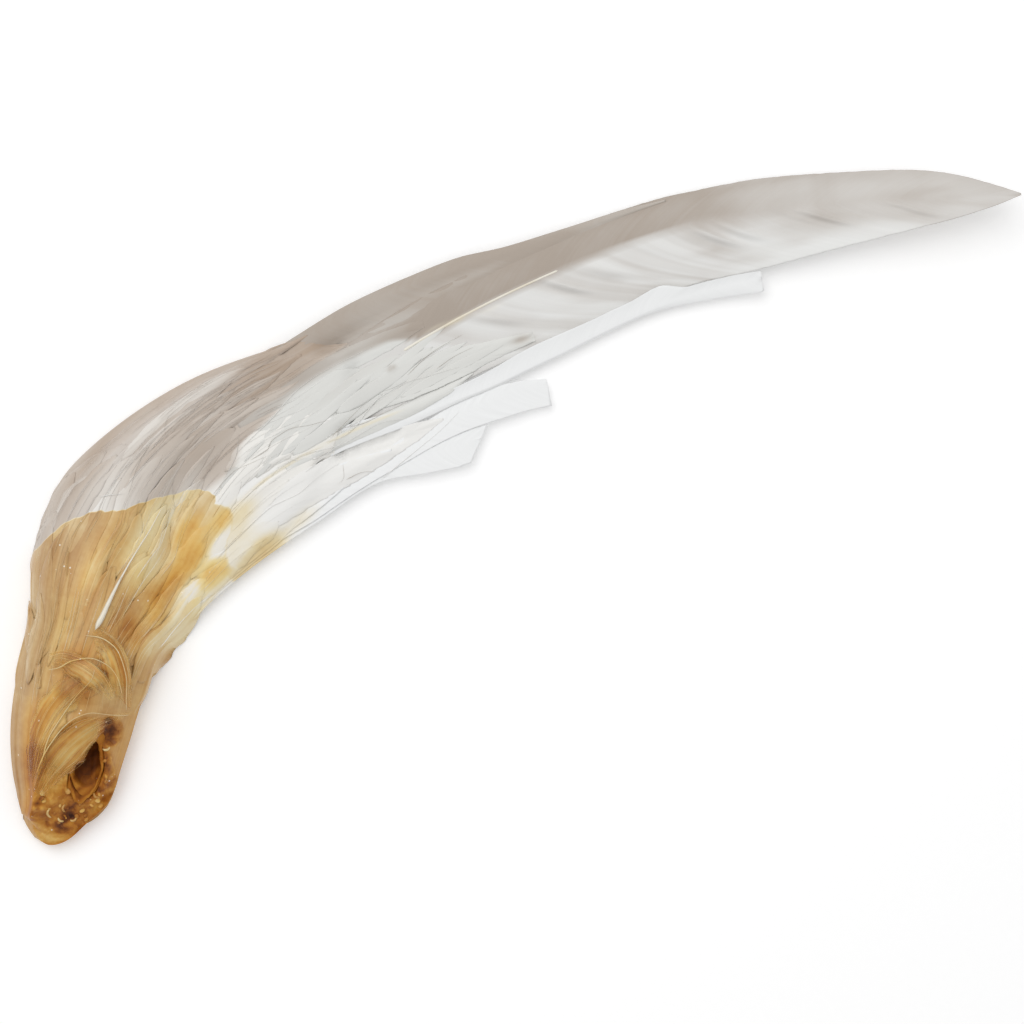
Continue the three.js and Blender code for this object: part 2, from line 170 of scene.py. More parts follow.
QUILL_TWIST = [[0, 0], [340, 0], [440, 0.35], [457, 0.38]]
CUT_POINT = (30.0, -5.0, 14.5)
CUT_SLOPE_S, CUT_SLOPE_D = 0.42, 0.4


def hand(k, s):
    """Column k of the hand's table, read at s."""
    return smooth(HAND[:, [0, k]], s)


def hand_top(s, d):
    """The hand's back: its underside, plus its side wall, plus a cosine crown across it."""
    across = np.clip((d - hand(1, s)) / hand(2, s), -1.8, 1.8)
    return hand(5, s) + hand(3, s) + hand(4, s) * np.cos(across * math.pi / 2)


def quill_surface(s, d):
    """The longest quill's underside: its height, less a camber, less the tip's twist."""
    side = d + 2.0
    reach = np.clip(-side / 30.0, 0.0, 1.0)
    camber = np.where(side > 0, 0.01 * side * side, 1.5 * reach * reach * (3 - 2 * reach))
    return smooth(QUILL_HEIGHT, s) - camber - smooth(QUILL_TWIST, s) * side


def covert_surface(s, d):
    """What the coverts lie on: whichever is higher, the hand or the quills' top."""
    return soft_max(hand_top(s, d) + 0.5, quill_surface(s, d) + LAYER + SHAFT_HEIGHT + 0.4, 3.0)


def cut_height(s, d):
    """The slanting cut through the wrist, a plane."""
    return CUT_POINT[2] + CUT_SLOPE_S * (s - CUT_POINT[0]) + CUT_SLOPE_D * (d - CUT_POINT[1])


def tuft_surface(s, d):
    """What the stuck tufts lie on: the lower of the hand's back and the cut, and a bit above."""
    return -soft_max(-hand_top(s, d), -cut_height(s, d) - 0.8, 2.0) + 0.9


print("height over the wrist", float(hand_top(np.array(60.0), np.array(0.0))), "mm")

# %% [markdown]
# ## Where the colour changes
#
# Dried grease has soaked the root of the wing up to a crisp, wandering line, with thicker orange
# pools behind it. Past the line, the vanes are white inside and beige-grey near the leading edge
# and at the tip, partly their own colour and partly painted shade. Each point stores six numbers
# as attributes: how far behind the line it is, how deep the stain is there, how yellow it is in
# front of the line, how beige its vane is (which holds that painted shade too), how thin it is,
# and how golden its stain is. The materials turn these into colours, so the line stays crisp
# however coarse the mesh is.

# %% The dip line and the stain
DIP_LINE = [  # d, then the s that the stain reaches there
    [-52, 118], [-45, 121], [-38, 125], [-33, 128], [-28, 134], [-26.4, 139.4], [-24.2, 143.7],
    [-21.6, 145], [-19, 144.6], [-16.4, 143], [-14.3, 144.3], [-10.8, 144], [-6.6, 140],
    [-3.4, 135.7], [1.5, 128.5], [5.4, 123.4], [6.2, 121], [11.1, 118], [16.2, 114], [20.7, 109],
    [24, 103.8], [28, 96], [34, 88],
]
STAIN_SPOTS = [  # s, d, length, width, how much deeper, how much more golden
    [117, -30, 7, 4, 0.20, 0.9], [120, -21, 9, 4, 0.18, 0.9], [127, -15, 8, 3.5, 0.16, 0.9],
    [139, -21.5, 7, 2.6, 0.16, 0.9], [124, -33, 6, 3, 0.16, 0.9], [131, -27, 6, 3, -0.20, 0.0],
    [107, -19.5, 7, 3, 0.16, 0.5], [98, -17.5, 6, 3, 0.10, 0.6], [84, -12.5, 6, 4, 0.18, 0.4],
    [91, -20, 6, 3, 0.04, 0.5], [80, -23, 8, 2.5, -0.20, 0.1], [80, -17, 5, 2, 0.12, 0.3],
    [112, -4, 12, 4, -0.14, 0.2], [104, -10, 9, 4, -0.12, 0.5], [130, -4, 9, 5, -0.16, 0.3],
    [116, 6, 9, 4, 0.10, 0.1], [96, 6, 12, 3, -0.07, 0.5], [69, 0, 5, 4, 0.14, 0.7],
    [63, 3, 5, 3, 0.10, 0.4], [57, -4, 5, 4, 0.18, 0.4], [86, -4, 5, 3, -0.12, 0.1],
    [60, 17, 18, 5, -0.02, -0.2], [31, 11, 9, 4, 0.18, 1.0], [10, 8, 7, 5, 0.02, 0.7],
    [16, 12, 8, 3, 0.04, 0.6], [92, -17, 6, 4, -0.09, 0.2], [80, -17, 6, 4, -0.07, 0.2],
    [105, -31, 7, 3, 0.05, 0.4], [59, -13.7, 5, 4, -0.09, 0.2], [94, 24, 9, 5, 0.04, 0],
    [31, 10.5, 8, 3, 0.02, 0.6], [118.4, -29.5, 6, 3, 0.14, 0.5], [138, -21.3, 6, 3, -0.10, 0.2],
    [66, -14, 6, 4, 0.06, 0.5], [74, 9, 9, 3, -0.10, 0.3], [52, 6, 7, 4, -0.06, 0.2],
    [104, -31.5, 7, 3.2, -0.05, 0.2], [44, 14, 12, 4, 0.03, 0.5],
]
TINGES = [  # s, d, length, width, how yellow
    [256, -5.6, 16, 1.0, 0.17], [150, -25, 10, 4, 0.13], [162, -41, 14, 3.5, 0.16],
]


def dip_at(s, d):
    """How far behind the dip line a point is, in widths of the line's own softness."""
    line = smooth(DIP_LINE, d) + 0.35 * np.sin(d * 0.9 + 1.0) + 0.3 * np.sin(d * 2.1 + s * 0.05)
    soft = 0.9 + 4.0 * step(-27, -36, d) + 1.6 * step(-14, -19, d)
    return np.clip((line - s) / soft, -3.0, 4.0)


def depth_at(s, d):
    """How deep the stain is behind the line: deeper towards the cut, plus the spots, and thin
    where the pale trailing feathers lie."""
    depth = 0.50 + 0.06 * step(110, 90, s) + 0.09 * step(62, 20, s)
    depth = depth - 0.10 * step(6, -4, d) * step(96, 116, s)
    depth = depth - 0.30 * step(-22, -27, d) * step(74, 86, s)
    return np.clip(depth + spots(s, d, STAIN_SPOTS), 0.05, 1.0)


def golden_at(s, d):
    """How golden the stain is, from tan at 0 to orange-gold at 1."""
    golden = 0.30 + 0.25 * step(60, 30, s) * step(14, 8, d) - 0.25 * step(10, 20, d)
    return np.clip(golden + spots(s, d, STAIN_SPOTS, 5), 0.0, 1.0)


def tinge_at(s, d):
    """How stained clean vane is: a fringe on the trailing edge, a curved line, and smudges."""
    fringe = 0.20 * step(-34, -39, d) * step(160, 138, s)
    curve = 0.15 * bump(d + 22 + 0.085 * (s - 160), 0, 0.9) * step(150, 164, s) * step(232, 215, s)
    near = 0.14 * step(158, 140, s) * step(-17, -21, d)
    return np.clip(fringe + curve + near + spots(s, d, TINGES), 0.0, 1.0)


print("depth in the pool", round(float(depth_at(np.array(118.0), np.array(-30.0))), 2))

# %% The beige shade and all six numbers together
SHADE_EDGE = [  # s, then the d where clean vane turns beige
    [95, -6], [130, -9], [155, -12], [166, -8], [180, -6], [193, -3.6], [213, -3], [228, -3.4],
    [242, -7], [268, -3.4], [299, 0.4], [336, 4.7], [358, 2], [378, -5], [400, -9], [457, -12],
]
SHADE_SOFT = [[95, 3], [150, 2], [200, 2], [240, 1], [330, 1], [352, 5], [400, 8], [457, 8]]
SHADE_DEPTH = [
    [95, 0.55], [122, 0.58], [140, 0.66], [156, 0.70], [172, 0.76], [200, 0.9], [225, 0.85],
    [262, 1], [300, 0.8], [345, 0.7], [385, 0.57], [457, 0.60],
]
LEADING_EDGE = [
    [80, 25.5], [110, 31], [130, 30], [150, 24.5], [170, 19], [190, 14], [210, 14],
    [240, 15], [280, 13], [320, 15.5], [345, 17.5], [380, 16], [430, 11], [457, 2],
]
SHADE_SPOTS = [  # s, d, length, width, how much more beige
    [126, 17, 13, 5, -0.22], [146, 17.5, 12, 3, -0.14], [170, 15, 16, 2.2, -0.22],
    [117, 9, 7, 6, -0.24], [215, 0, 12, 3, -0.30], [185, -3, 9, 2.5, -0.30], [140, -6, 6, 5, -0.15],
    # The spot at (274, -19.4) is a painted shadow at the clipped tip of covert_greater_4.
    [226, -12.4, 1.4, 1.1, 0.7], [274, -19.4, 3.4, 1.3, 0.7],
    [125, 27, 14, 3, 0.30], [204, 7, 12, 4, 0.10], [236, 2, 14, 2.2, -0.25], [262, 7, 20, 2, -0.15],
    [408, -7, 22, 4, -0.20], [440, -3, 12, 4, -0.15], [384, -12, 10, 2.5, -0.2],
    [372, 1, 7, 2, -0.12], [420, 3, 10, 2.5, 0.16], [432, 0, 6, 2, 0.14],
    [362, -11, 12, 1.6, 0.22], [350, -6, 10, 1.4, 0.18], [375, -8, 10, 1.3, 0.22],
]


def shade_at(s, d):
    """How beige a clean vane is: 0 on the inner vanes, rising to 1 towards the leading edge and
    over the tip. The beige is partly the vane's own colour and partly painted shade where the vane
    turns down at the leading edge and twists at the tip. It also holds a painted shadow band and a
    painted shadow spot.
    """
    beyond = (d - smooth(SHADE_EDGE, s)) / smooth(SHADE_SOFT, s)
    # Within 6 mm of the leading edge the vane is beiger still: partly its own colour, partly painted
    # shade where the edge turns down.
    rim = 0.10 * step(6, 0, smooth(LEADING_EDGE, s) - d)
    shade = step(-1, 1, beyond) * (smooth(SHADE_DEPTH, s) + rim)
    # Painted shadow: a soft beige band on the widest quill just behind the outer quill's trailing edge,
    # standing for the shade that edge casts.
    ridge = smooth([[236, -2], [253, 2], [269, 5], [285, 9], [299, 12]], s)
    shade = shade + 0.30 * bump(d, ridge - 0.8, 1.8) * step(234, 244, s) * step(312, 292, s)
    return np.clip(shade + spots(s, d, SHADE_SPOTS), 0.0, 1.0)


def marks(s, d, depth=0.0, shade=0.0, thin=0.0, golden=0.0):
    """The six numbers of each point, with a feather's own changes added."""
    return np.stack([
        dip_at(s, d),
        np.clip(depth_at(s, d) + depth, 0, 1),
        tinge_at(s, d),
        np.clip(shade_at(s, d) + shade, 0, 1),
        np.clip(thin + 0 * s, 0, 1),
        np.clip(golden_at(s, d) + golden, 0, 1),
    ], axis=-1)


MARK_NAMES = ("dip", "depth", "tinge", "shade", "thin", "golden")
print("numbers for each point:", MARK_NAMES)

# %% [markdown]
# ## Which way the small feathers run
#
# The small feathers fan out with the body. Past the dip line they lean towards the leading edge,
# most in the middle of the wing, and a little the other way near the trailing edge. Their streaks
# follow the same lines. So a second pair of coordinates is used for their patterns: across
# is the place between the two edges, and along is s.

# %% The streaks' own coordinates
MAT_TRAILING = [
    [-3, -4], [10, -9], [20, -15], [48, -21.5], [60, -23], [75, -24.5], [90, -30.5], [110, -34.5],
    [130, -38.5], [150, -41], [165, -40], [180, -34], [195, -26], [206, -16], [212, -8], [216, 0],
]


def mat_leading(s):
    """The leading edge of the small feathers: the hand's side, then a rounded end."""
    side = hand(1, s) + hand(2, s) + 0.25
    return side + (1.5 - side) * step(188, 218, s) ** 1.5


LEAN = [[-45, 0.10], [0, -0.45], [24, -0.05]]  # d, and how the flow's lines lean there
FLOW_TRAILING = [row for row in MAT_TRAILING if row[0] <= 150] + [[170, -42], [230, -44]]


def flow(s, d):
    """(across, along) in centimetres: across fans out with the body and leans past s = 115."""
    low, high = smooth(FLOW_TRAILING, s), hand(1, s) + hand(2, s)
    fan = (d - (low + high) / 2) / (high - low) * 52.0
    past = 40.0 * (1 - np.exp(-np.maximum(s - 115.0, 0.0) / 40.0))
    return np.stack([(fan + smooth(LEAN, d) * past) / 10, s / 10 + 0 * fan], axis=-1)


print("flow at the wrist:", flow(np.array(60.0), np.array(0.0)).round(2))

# %% [markdown]
# ## Collecting surfaces into one mesh
#
# A feather is a vane and a shaft, and a tuft is hundreds of barbs. Blender is happiest with one
# mesh per piece, so a Heap gathers grids of points and writes them out once. Every grid brings its
# own UV and its six numbers.

# %% The heap
def grid_faces(rows, columns, wrap=False):
    """Quads over a grid of rows by columns, and round again from the last column if wrap."""
    i = np.arange(rows - 1)[:, None]
    j = np.arange(columns if wrap else columns - 1)[None, :]
    after = (j + 1) % columns
    here, ahead = i * columns, (i + 1) * columns
    return np.stack([here + j, here + after, ahead + after, ahead + j], axis=-1).reshape(-1, 4)


def ring_cap(sides):
    """Quads that close a ring with an even number of points, as rungs across it."""
    k = np.arange(sides // 2 - 1)
    return np.stack([k, k + 1, sides - 2 - k, sides - 1 - k], axis=-1)


class Heap:
    """Points, quads, UVs and marks gathered for one piece."""

    def __init__(self):
        self.points, self.quads, self.uv, self.marks, self.slots = [], [], [], [], []
        self.count = 0

    def add(self, points, quads, uv, marks, slot=0):
        points = points.reshape(-1, 3)
        self.points.append(points)
        self.quads.append(quads + self.count)
        self.uv.append(uv.reshape(-1, 2))
        self.marks.append(marks.reshape(-1, len(MARK_NAMES)))
        self.slots.append(slot + np.zeros(len(quads), int))
        self.count += len(points)

    def build(self, name, materials, node_names):
        """Write the heap as one object that rides on the wing and stands for its CAD nodes."""
        points = np.concatenate(self.points)
        quads = np.concatenate(self.quads)
        uv = np.concatenate(self.uv)
        marks = np.concatenate(self.marks)
        mesh = bpy.data.meshes.new(name)
        mesh.vertices.add(len(points))
        mesh.vertices.foreach_set("co", (points * MM).astype(np.float32).ravel())
        mesh.loops.add(quads.size)
        mesh.loops.foreach_set("vertex_index", quads.astype(np.int32).ravel())
        mesh.polygons.add(len(quads))
        mesh.polygons.foreach_set("loop_start", np.arange(0, quads.size, 4, dtype=np.int32))
        mesh.polygons.foreach_set("material_index", np.concatenate(self.slots).astype(np.int32))
        mesh.polygons.foreach_set("use_smooth", np.ones(len(quads), bool))
        corner_uv = uv[quads.ravel()].astype(np.float32)
        mesh.uv_layers.new(name="barbs").data.foreach_set("uv", corner_uv.ravel())
        for k, mark in enumerate(MARK_NAMES):
            layer = mesh.attributes.new(mark, "FLOAT", "POINT")
            layer.data.foreach_set("value", marks[:, k].astype(np.float32))
        mesh.update(calc_edges=True)
        for material in materials:
            mesh.materials.append(material)
        piece = bpy.data.objects.new(name, mesh)
        bpy.context.scene.collection.objects.link(piece)
        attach(piece, "root")
        if node_names:
            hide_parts(*node_names)
        skyline.raise_to(points, quads)
        print(f"{name}: {2 * len(quads)} triangles")


def shell(heap, top, bottom, uv, marks):
    """A closed thin sheet: the top grid, the bottom grid turned over, and a rim round both."""
    rows, columns = top.shape[:2]
    faces = grid_faces(rows, columns)
    half = rows * columns
    ids = np.arange(half).reshape(rows, columns)
    rim = np.concatenate([ids[0, :], ids[1:, -1], ids[-1, -2::-1], ids[-2:0:-1, 0]])
    ahead = np.roll(rim, -1)
    sides = np.stack([ahead, rim, rim + half, ahead + half], axis=-1)
    quads = np.concatenate([faces, faces[:, ::-1] + half, sides])
    both = lambda a: np.concatenate([a.reshape(half, -1), a.reshape(half, -1)])
    points = np.concatenate([top.reshape(-1, 3), bottom.reshape(-1, 3)])
    heap.add(points, quads, both(uv), both(marks))
    return points, quads


def tube(heap, centre, radius, sides, uv, marks, slot=0, flat=1.0):
    """A closed round rod along a path: a ring of the given radius across the path at each point,
    squashed in height by flat, drawn in to a point at both ends."""
    along = np.gradient(centre, axis=0)
    along /= np.linalg.norm(along, axis=1, keepdims=True) + 1e-9
    across = np.stack([-along[:, 1], along[:, 0], 0 * along[:, 0]], axis=-1)
    across /= np.linalg.norm(across, axis=1, keepdims=True) + 1e-9
    up = np.cross(along, across)
    turn = np.linspace(0, 2 * math.pi, sides, endpoint=False)
    r = np.array(radius) * np.ones(len(centre))
    r[0], r[-1] = 1e-4, 1e-4
    turn = turn[None, :, None]
    ring = across[:, None] * np.cos(turn) + up[:, None] * flat * np.sin(turn)
    points = centre[:, None] + ring * r[:, None, None]
    spread = lambda a: np.repeat(a[:, None], sides, axis=1)
    first, last = ring_cap(sides)[:, ::-1], ring_cap(sides) + (len(centre) - 1) * sides
    quads = np.concatenate([grid_faces(len(centre), sides, wrap=True), first, last])
    heap.add(points, quads, spread(uv), spread(marks), slot)


print("grid of 3 by 4 points:", len(grid_faces(3, 4)), "quads")

# %% [markdown]
# ## The skyline
#
# Dried feathers cling to whatever is under them. So the script keeps a skyline: for every square
# millimetre, the highest point of all the pieces made so far. A new feather is laid on that, and
# so it hugs the ones below without floating or cutting in. There are three readings: a loose one
# that clears every edge, for a feather's middle, a close one, for its rim, so that no gap shows,
# and a limp one between the two, for ribbons.

# %% The skyline
class Skyline:
    """Greatest heights on a grid of 1 mm cells over the wing."""

    START, SIZE = np.array([-45.0, -55.0]), (450, 170)

    def __init__(self):
        self.raw = np.zeros(self.SIZE)
        self.over, self.close = self.raw, self.raw

    def raise_to(self, points, quads):
        middles = points[quads].mean(axis=1)
        edges = (points[quads] + points[np.roll(quads, 1, axis=1)]).reshape(-1, 3) / 2
        for cloud in (points, middles, edges):
            i, j = (np.floor(cloud[:, :2] - self.START)).astype(int).T
            inside = (i >= 0) & (j >= 0) & (i < self.SIZE[0]) & (j < self.SIZE[1])
            np.maximum.at(self.raw, (i[inside], j[inside]), cloud[inside, 2])
        grown = self.around(self.raw, np.maximum)
        self.over = self.around(self.around(grown, np.add), np.add)
        self.close = self.around(self.around(grown, np.minimum), np.add)

    @staticmethod
    def around(grid, join):
        """Join each cell with its neighbours on both sides, along one axis and then the other."""
        for axis in (0, 1):
            grid = join(join(np.roll(grid, 1, axis), grid), np.roll(grid, -1, axis))
            if join is np.add:
                grid = grid / 3
        return grid

    def read(self, g, s, d):
        """The height that a grid gives at (s, d), between its cells."""
        at = place(s, d, 0.0)[..., :2] - self.START - 0.5
        i, j = np.floor(at).astype(int)[..., 0], np.floor(at).astype(int)[..., 1]
        u, v = at[..., 0] - i, at[..., 1] - j
        i, j = np.clip(i, 0, self.SIZE[0] - 2), np.clip(j, 0, self.SIZE[1] - 2)
        near = g[i, j] * (1 - u) + g[i + 1, j] * u
        far = g[i, j + 1] * (1 - u) + g[i + 1, j + 1] * u
        return near * (1 - v) + far * v

    def top(self, s, d):
        """A sheet laid loosely over everything, which clears every edge."""
        return self.read(self.over, s, d)

    def bed(self, s, d):
        """A sheet pressed closely down, which follows every edge."""
        return self.read(self.close, s, d)

    def limp(self, s, d):
        """A limp sheet between the two, nearer the close one."""
        return 0.3 * self.top(s, d) + 0.7 * self.bed(s, d)


skyline = Skyline()
print("skyline cells:", skyline.raw.size)

# %% [markdown]
# ## How a feather is built
#
# A vane is a row of barbs. Each barb leaves the shaft at a wide angle, bends towards the tip, and
# ends on the feather's outline. So the grid's rows are barbs: row i starts on the shaft at x and
# ends on the outline further on. A ragged edge then follows the barbs for free, because it is only
# barbs that end early. A clipped end is an outline that turns square across.

# %% The feather
def centre_line(points, spacing):
    """Positions x along a feather, its shaft's (s, d), its heading there, and its two widths."""
    points = np.array(points, float)
    run = np.concatenate([[0.0], np.cumsum(np.hypot(*np.diff(points[:, :2], axis=0).T))])
    x = np.linspace(0.0, run[-1], max(int(run[-1] / spacing), 12))
    s, d, lead, trail = (smooth(np.stack([run, points[:, k]], axis=-1), x) for k in range(4))
    way = np.stack([np.gradient(s, x), np.gradient(d, x)], axis=-1)
    way /= np.linalg.norm(way, axis=1, keepdims=True)
    return x, np.stack([s, d], axis=-1), way, (lead, trail)


def barb_ends(x, shaft, way, width, side, look):
    """Where each barb ends: the outline's point a little further along than the barb's root. The
    outline runs beside the shaft, and on a clipped end it turns and runs back to the shaft."""
    length = x[-1]
    out = np.stack([-way[:, 1], way[:, 0]], axis=-1) * side
    lean = look["slant"] * side * width * step(length - 14, length, x)
    edge = shaft + out * width[:, None] + way * lean[:, None]
    clip = width[-1] if look["clipped"] else 0.0
    ahead = x + look["advance"] * width * step(0, 12, x)
    if clip:
        reach = max(look["advance"] * clip, 1.0)
        turned = length + clip * (1 - (length - x) / reach)
        ahead = np.where(x < length - reach, np.minimum(ahead, length), turned)
    ahead = np.maximum.accumulate(np.clip(ahead, 0, length + clip))
    past = np.clip((ahead - length) / max(clip, 1e-6), 0, 1)[:, None]
    on_edge = np.stack([np.interp(ahead, x, edge[:, k]) for k in (0, 1)], axis=-1)
    return on_edge * (1 - past) + shaft[-1] * past


def barb_rows(x, shaft, way, width, side, look):
    """The (s, d) of every point of one vane. A barb is a straight line to its end, bowed back
    near the shaft, and shortened a little by the ragged edge."""
    ends = barb_ends(x, shaft, way, width, side, look)
    t = np.linspace(0, 1, look["columns"] + 1)[1:]
    t = 1 - (1 - t) ** 1.35
    short = look["ragged"] * (0.5 + 0.5 * wobble(x, 3.1, look["seed"] + side))
    short = short + 0.35 * look["ragged"] * (1 + wobble(x, 0.8, look["seed"] + 9 + side))
    away = ends - shaft
    size = np.linalg.norm(away, axis=1)
    fade = np.clip(1 - short, 0.05, 1)[:, None] * t[None, :]
    bow = (look["bow"] * size)[:, None] * 4 * t * (1 - t)
    rows = shaft[:, None] + away[:, None] * fade[..., None] - way[:, None] * bow[..., None]
    return rows, t, size


LOOK = dict(
    slant=0.0, clipped=False, spacing=0.9, columns=8, advance=1.5, bow=0.10, ragged=0.03,
    thick=0.22, clump=0.06, curl=(0.0, 0.0), wave=0.12, shaft=(0.0, 0.0), shaft_span=(0.0, 1e9),
    relief=None, painted_vane_light=None, seed=1, depth=0.0, shade=0.0, above=0.0, along_flow=False, tuck=0.0,
    tuck_side=0, clear=False,
)


def feather(heap, points, lift, surface, **changes):
    """One feather on a surface: two vanes of barbs that share a shaft, as a closed thin sheet,
    and the shaft as a rod half sunk into it. The barb clumps stand a little proud of their
    neighbours, and the whole vane ripples slowly."""
    look = {**LOOK, **changes}
    x, shaft, way, (lead, trail) = centre_line(points, look["spacing"])
    left, t, left_size = barb_rows(x, shaft, way, lead, 1, look)
    right, _, right_size = barb_rows(x, shaft, way, trail, -1, look)
    flat = np.concatenate([left[:, ::-1], shaft[:, None], right], axis=1)
    v = np.concatenate([t[::-1], [0.0], t])[None, :]
    along_barb = np.concatenate(
        [t[::-1] * left_size[:, None], 0 * x[:, None], -t * right_size[:, None]], axis=1
    )
    s, d = flat[..., 0], flat[..., 1]
    raised = STACK * (lift[0] + (lift[1] - lift[0]) * x / x[-1])[:, None] + look["above"]
    seed = look["seed"]
    root = x[:, None] + 0 * v
    ripple = wobble(root + 0.4 * np.abs(along_barb), 17, seed + 3)
    ripple = look["wave"] * step(0.1, 0.9, v) * ripple
    curl = np.where(along_barb > 0, look["curl"][0], look["curl"][1]) * v**2
    z = surface(s, d) + raised + ripple + curl
    if look["relief"] is not None:
        z = z + look["relief"](root, along_barb)
    if look["tuck"]:
        rim = np.clip(np.abs(v) ** 2.6 + step(x[-1] - 5, x[-1], root) + step(8, 0, root), 0, 1)
        if look["tuck_side"]:
            rim = v**2 * (along_barb * look["tuck_side"] > 0)
        z = z * (1 - rim) + (skyline.bed(s, d) - look["tuck"]) * rim
    if look["clear"]:
        z = np.maximum(z, skyline.top(s, d) + 0.03)
    z = np.maximum(z, 0.15)
    ridge = wobble(root, 1.9, seed + 4) + 0.6 * wobble(root, 0.9, seed + 5)
    top_z = z + look["thick"] * (1 - 0.6 * v**2) + look["clump"] * step(0.0, 0.35, v) * ridge
    uv = np.stack([root / 10 + seed * 0.37, along_barb / 10], axis=-1)
    if look["along_flow"]:
        uv = flow(s, d)
    # A quill's painted vane light, if it has one, is added to its beige here.
    shade = look["shade"] + (look["painted_vane_light"](s, root, along_barb) if look["painted_vane_light"] else 0)
    own = marks(s, d, look["depth"], shade, v + 0 * s)
    shell(heap, place(s, d, np.maximum(top_z, z + 0.06)), place(s, d, z), uv, own)
    if look["shaft"][0] > 0:
        keep = (x >= look["shaft_span"][0]) & (x <= look["shaft_span"][1])
        thin = (x / x[-1])[keep]
        radius = look["shaft"][0] * (1 - thin) + look["shaft"][1] * thin
        middle = look["columns"]
        line = place(shaft[keep, 0], shaft[keep, 1], z[keep, middle] + look["thick"])
        tube(heap, line, radius, 8, uv[keep, middle], own[keep, middle], 1, flat=0.4)


print("barbs in 100 mm of vane:", int(100 / LOOK["spacing"]))

# %% [markdown]
# ## Ribbons and hairs
#
# Grease turns a small feather into a limp ribbon whose barbs all lie along it. A ribbon is a sheet
# about a centre line: v runs across it and x along it. Its colour differs a little from what is
# under it, most at its leading edge and not at all at the other, so the two melt together. A hair
# is a single barb or a bare shaft, as a thin rod laid on the skyline.

# %% Ribbons and hairs
RIBBON = dict(
    spacing=1.6, columns=8, thick=0.09, above=0.02, fold=0.0, crease=0.04, ragged=0.15, seed=1,
    depth=0.0, shade=0.0, golden=0.0, along_flow=True, surface=None, tuck=0.11, melting=True,
)


def ribbon(heap, points, **changes):
    """A sheet on both sides of a centre line, with long barbs, laid on the skyline unless it is
    given a surface. Its edges wander a little, and it fades to the colour below."""
    look = {**RIBBON, **changes}
    seed = look["seed"]
    x, shaft, way, (lead, trail) = centre_line(points, look["spacing"])
    out = np.stack([-way[:, 1], way[:, 0]], axis=-1)
    v = np.linspace(1, -1, look["columns"] + 1)[None, :]
    sway = np.where(v > 0, wobble(x, 4.0, seed)[:, None], wobble(x, 3.3, seed + 1)[:, None])
    width = np.where(v > 0, lead[:, None], trail[:, None]) * v * (1 + look["ragged"] * sway)
    flat = shaft[:, None] + out[:, None] * width[..., None]
    s, d = flat[..., 0], flat[..., 1]
    lay = look["surface"] or skyline.limp
    share = (x / x[-1])[:, None]
    arch = np.sin(math.pi * share)
    fold = look["fold"] * np.cos(v * math.pi / 2) * arch
    crease = look["crease"] * wobble(width + 40 + 0.05 * x[:, None], 1.3, seed + 2)
    z = lay(s, d) + look["above"] + fold + crease * np.sqrt(np.abs(arch))
    if look["tuck"]:
        rim = 1 - (1 - v**2) * np.clip(2 * arch, 0, 1)
        z = z * (1 - rim) + (skyline.bed(s, d) - look["tuck"]) * rim
    z = np.maximum(z, 0.12)
    top_z = z + look["thick"] * (1 - 0.6 * v * v)
    melt = (0.5 + 0.5 * v) * arch**0.4 if look["melting"] else 1.0 + 0 * s
    thin = np.maximum(np.abs(v), 2 * np.abs(share - 0.5) ** 0.5 * 0.9) + 0 * s
    own = marks(s, d, look["depth"] * melt, look["shade"] * melt, thin, look["golden"] * melt)
    uv = flow(s, d)
    if not look["along_flow"]:
        uv = np.stack([width / 10 + 0.37 * seed, x[:, None] / 10 + 0 * v], axis=-1)
    skyline.raise_to(*shell(heap, place(s, d, top_z), place(s, d, z), uv, own))


def hair(heap, points, radius, slot=0, above=0.0, spacing=1.5, tone=0.0, surface=None):
    """A thin rod through (s, d) points, laid on the skyline, thinner towards its end."""
    points = np.array(points, float)
    run = np.concatenate([[0.0], np.cumsum(np.hypot(*np.diff(points, axis=0).T))])
    x = np.linspace(0, run[-1], max(int(run[-1] / spacing), 6))
    s, d = (smooth(np.stack([run, points[:, k]], axis=-1), x) for k in (0, 1))
    z = (surface or skyline.top)(s, d) + above + 0.4 * radius
    line = place(s, d, z)
    size = radius * np.clip(0.3 + 5 * x / x[-1], 0, 1) * (1 - 0.7 * x / x[-1])
    tube(heap, line, size, 4, flow(s, d), marks(s, d, tone, tone, 0.0), slot)


print("ribbon and hair ready")

# %% [markdown]
# ## Finishes
#
# Four effects are shared, so each is a node group. Barb streaks are noise stretched along the
# barbs, read from the piece's own UV. The dip line group turns three of the stored numbers into one
# stain level with a crisp edge. The stain group turns that level into cream, amber, gold and brown.
# A crumbs-and-sparkles group adds a few dark crumbs caught in the grease, and tiny bright
# painted sparkles on the wet grease that stand for points of reflected light. Shaders stay in the
# materials, because the groups only hand out colours, masks and heights.

# %% Helpers for nodes
def linear(r, g, b):
    """An sRGB colour from 0 to 255 as the linear values that shaders use."""
    c = np.array([r, g, b]) / 255
    c = np.where(c <= 0.04045, c / 12.92, ((c + 0.055) / 1.055) ** 2.4)
    return (*[float(v) for v in c], 1.0)


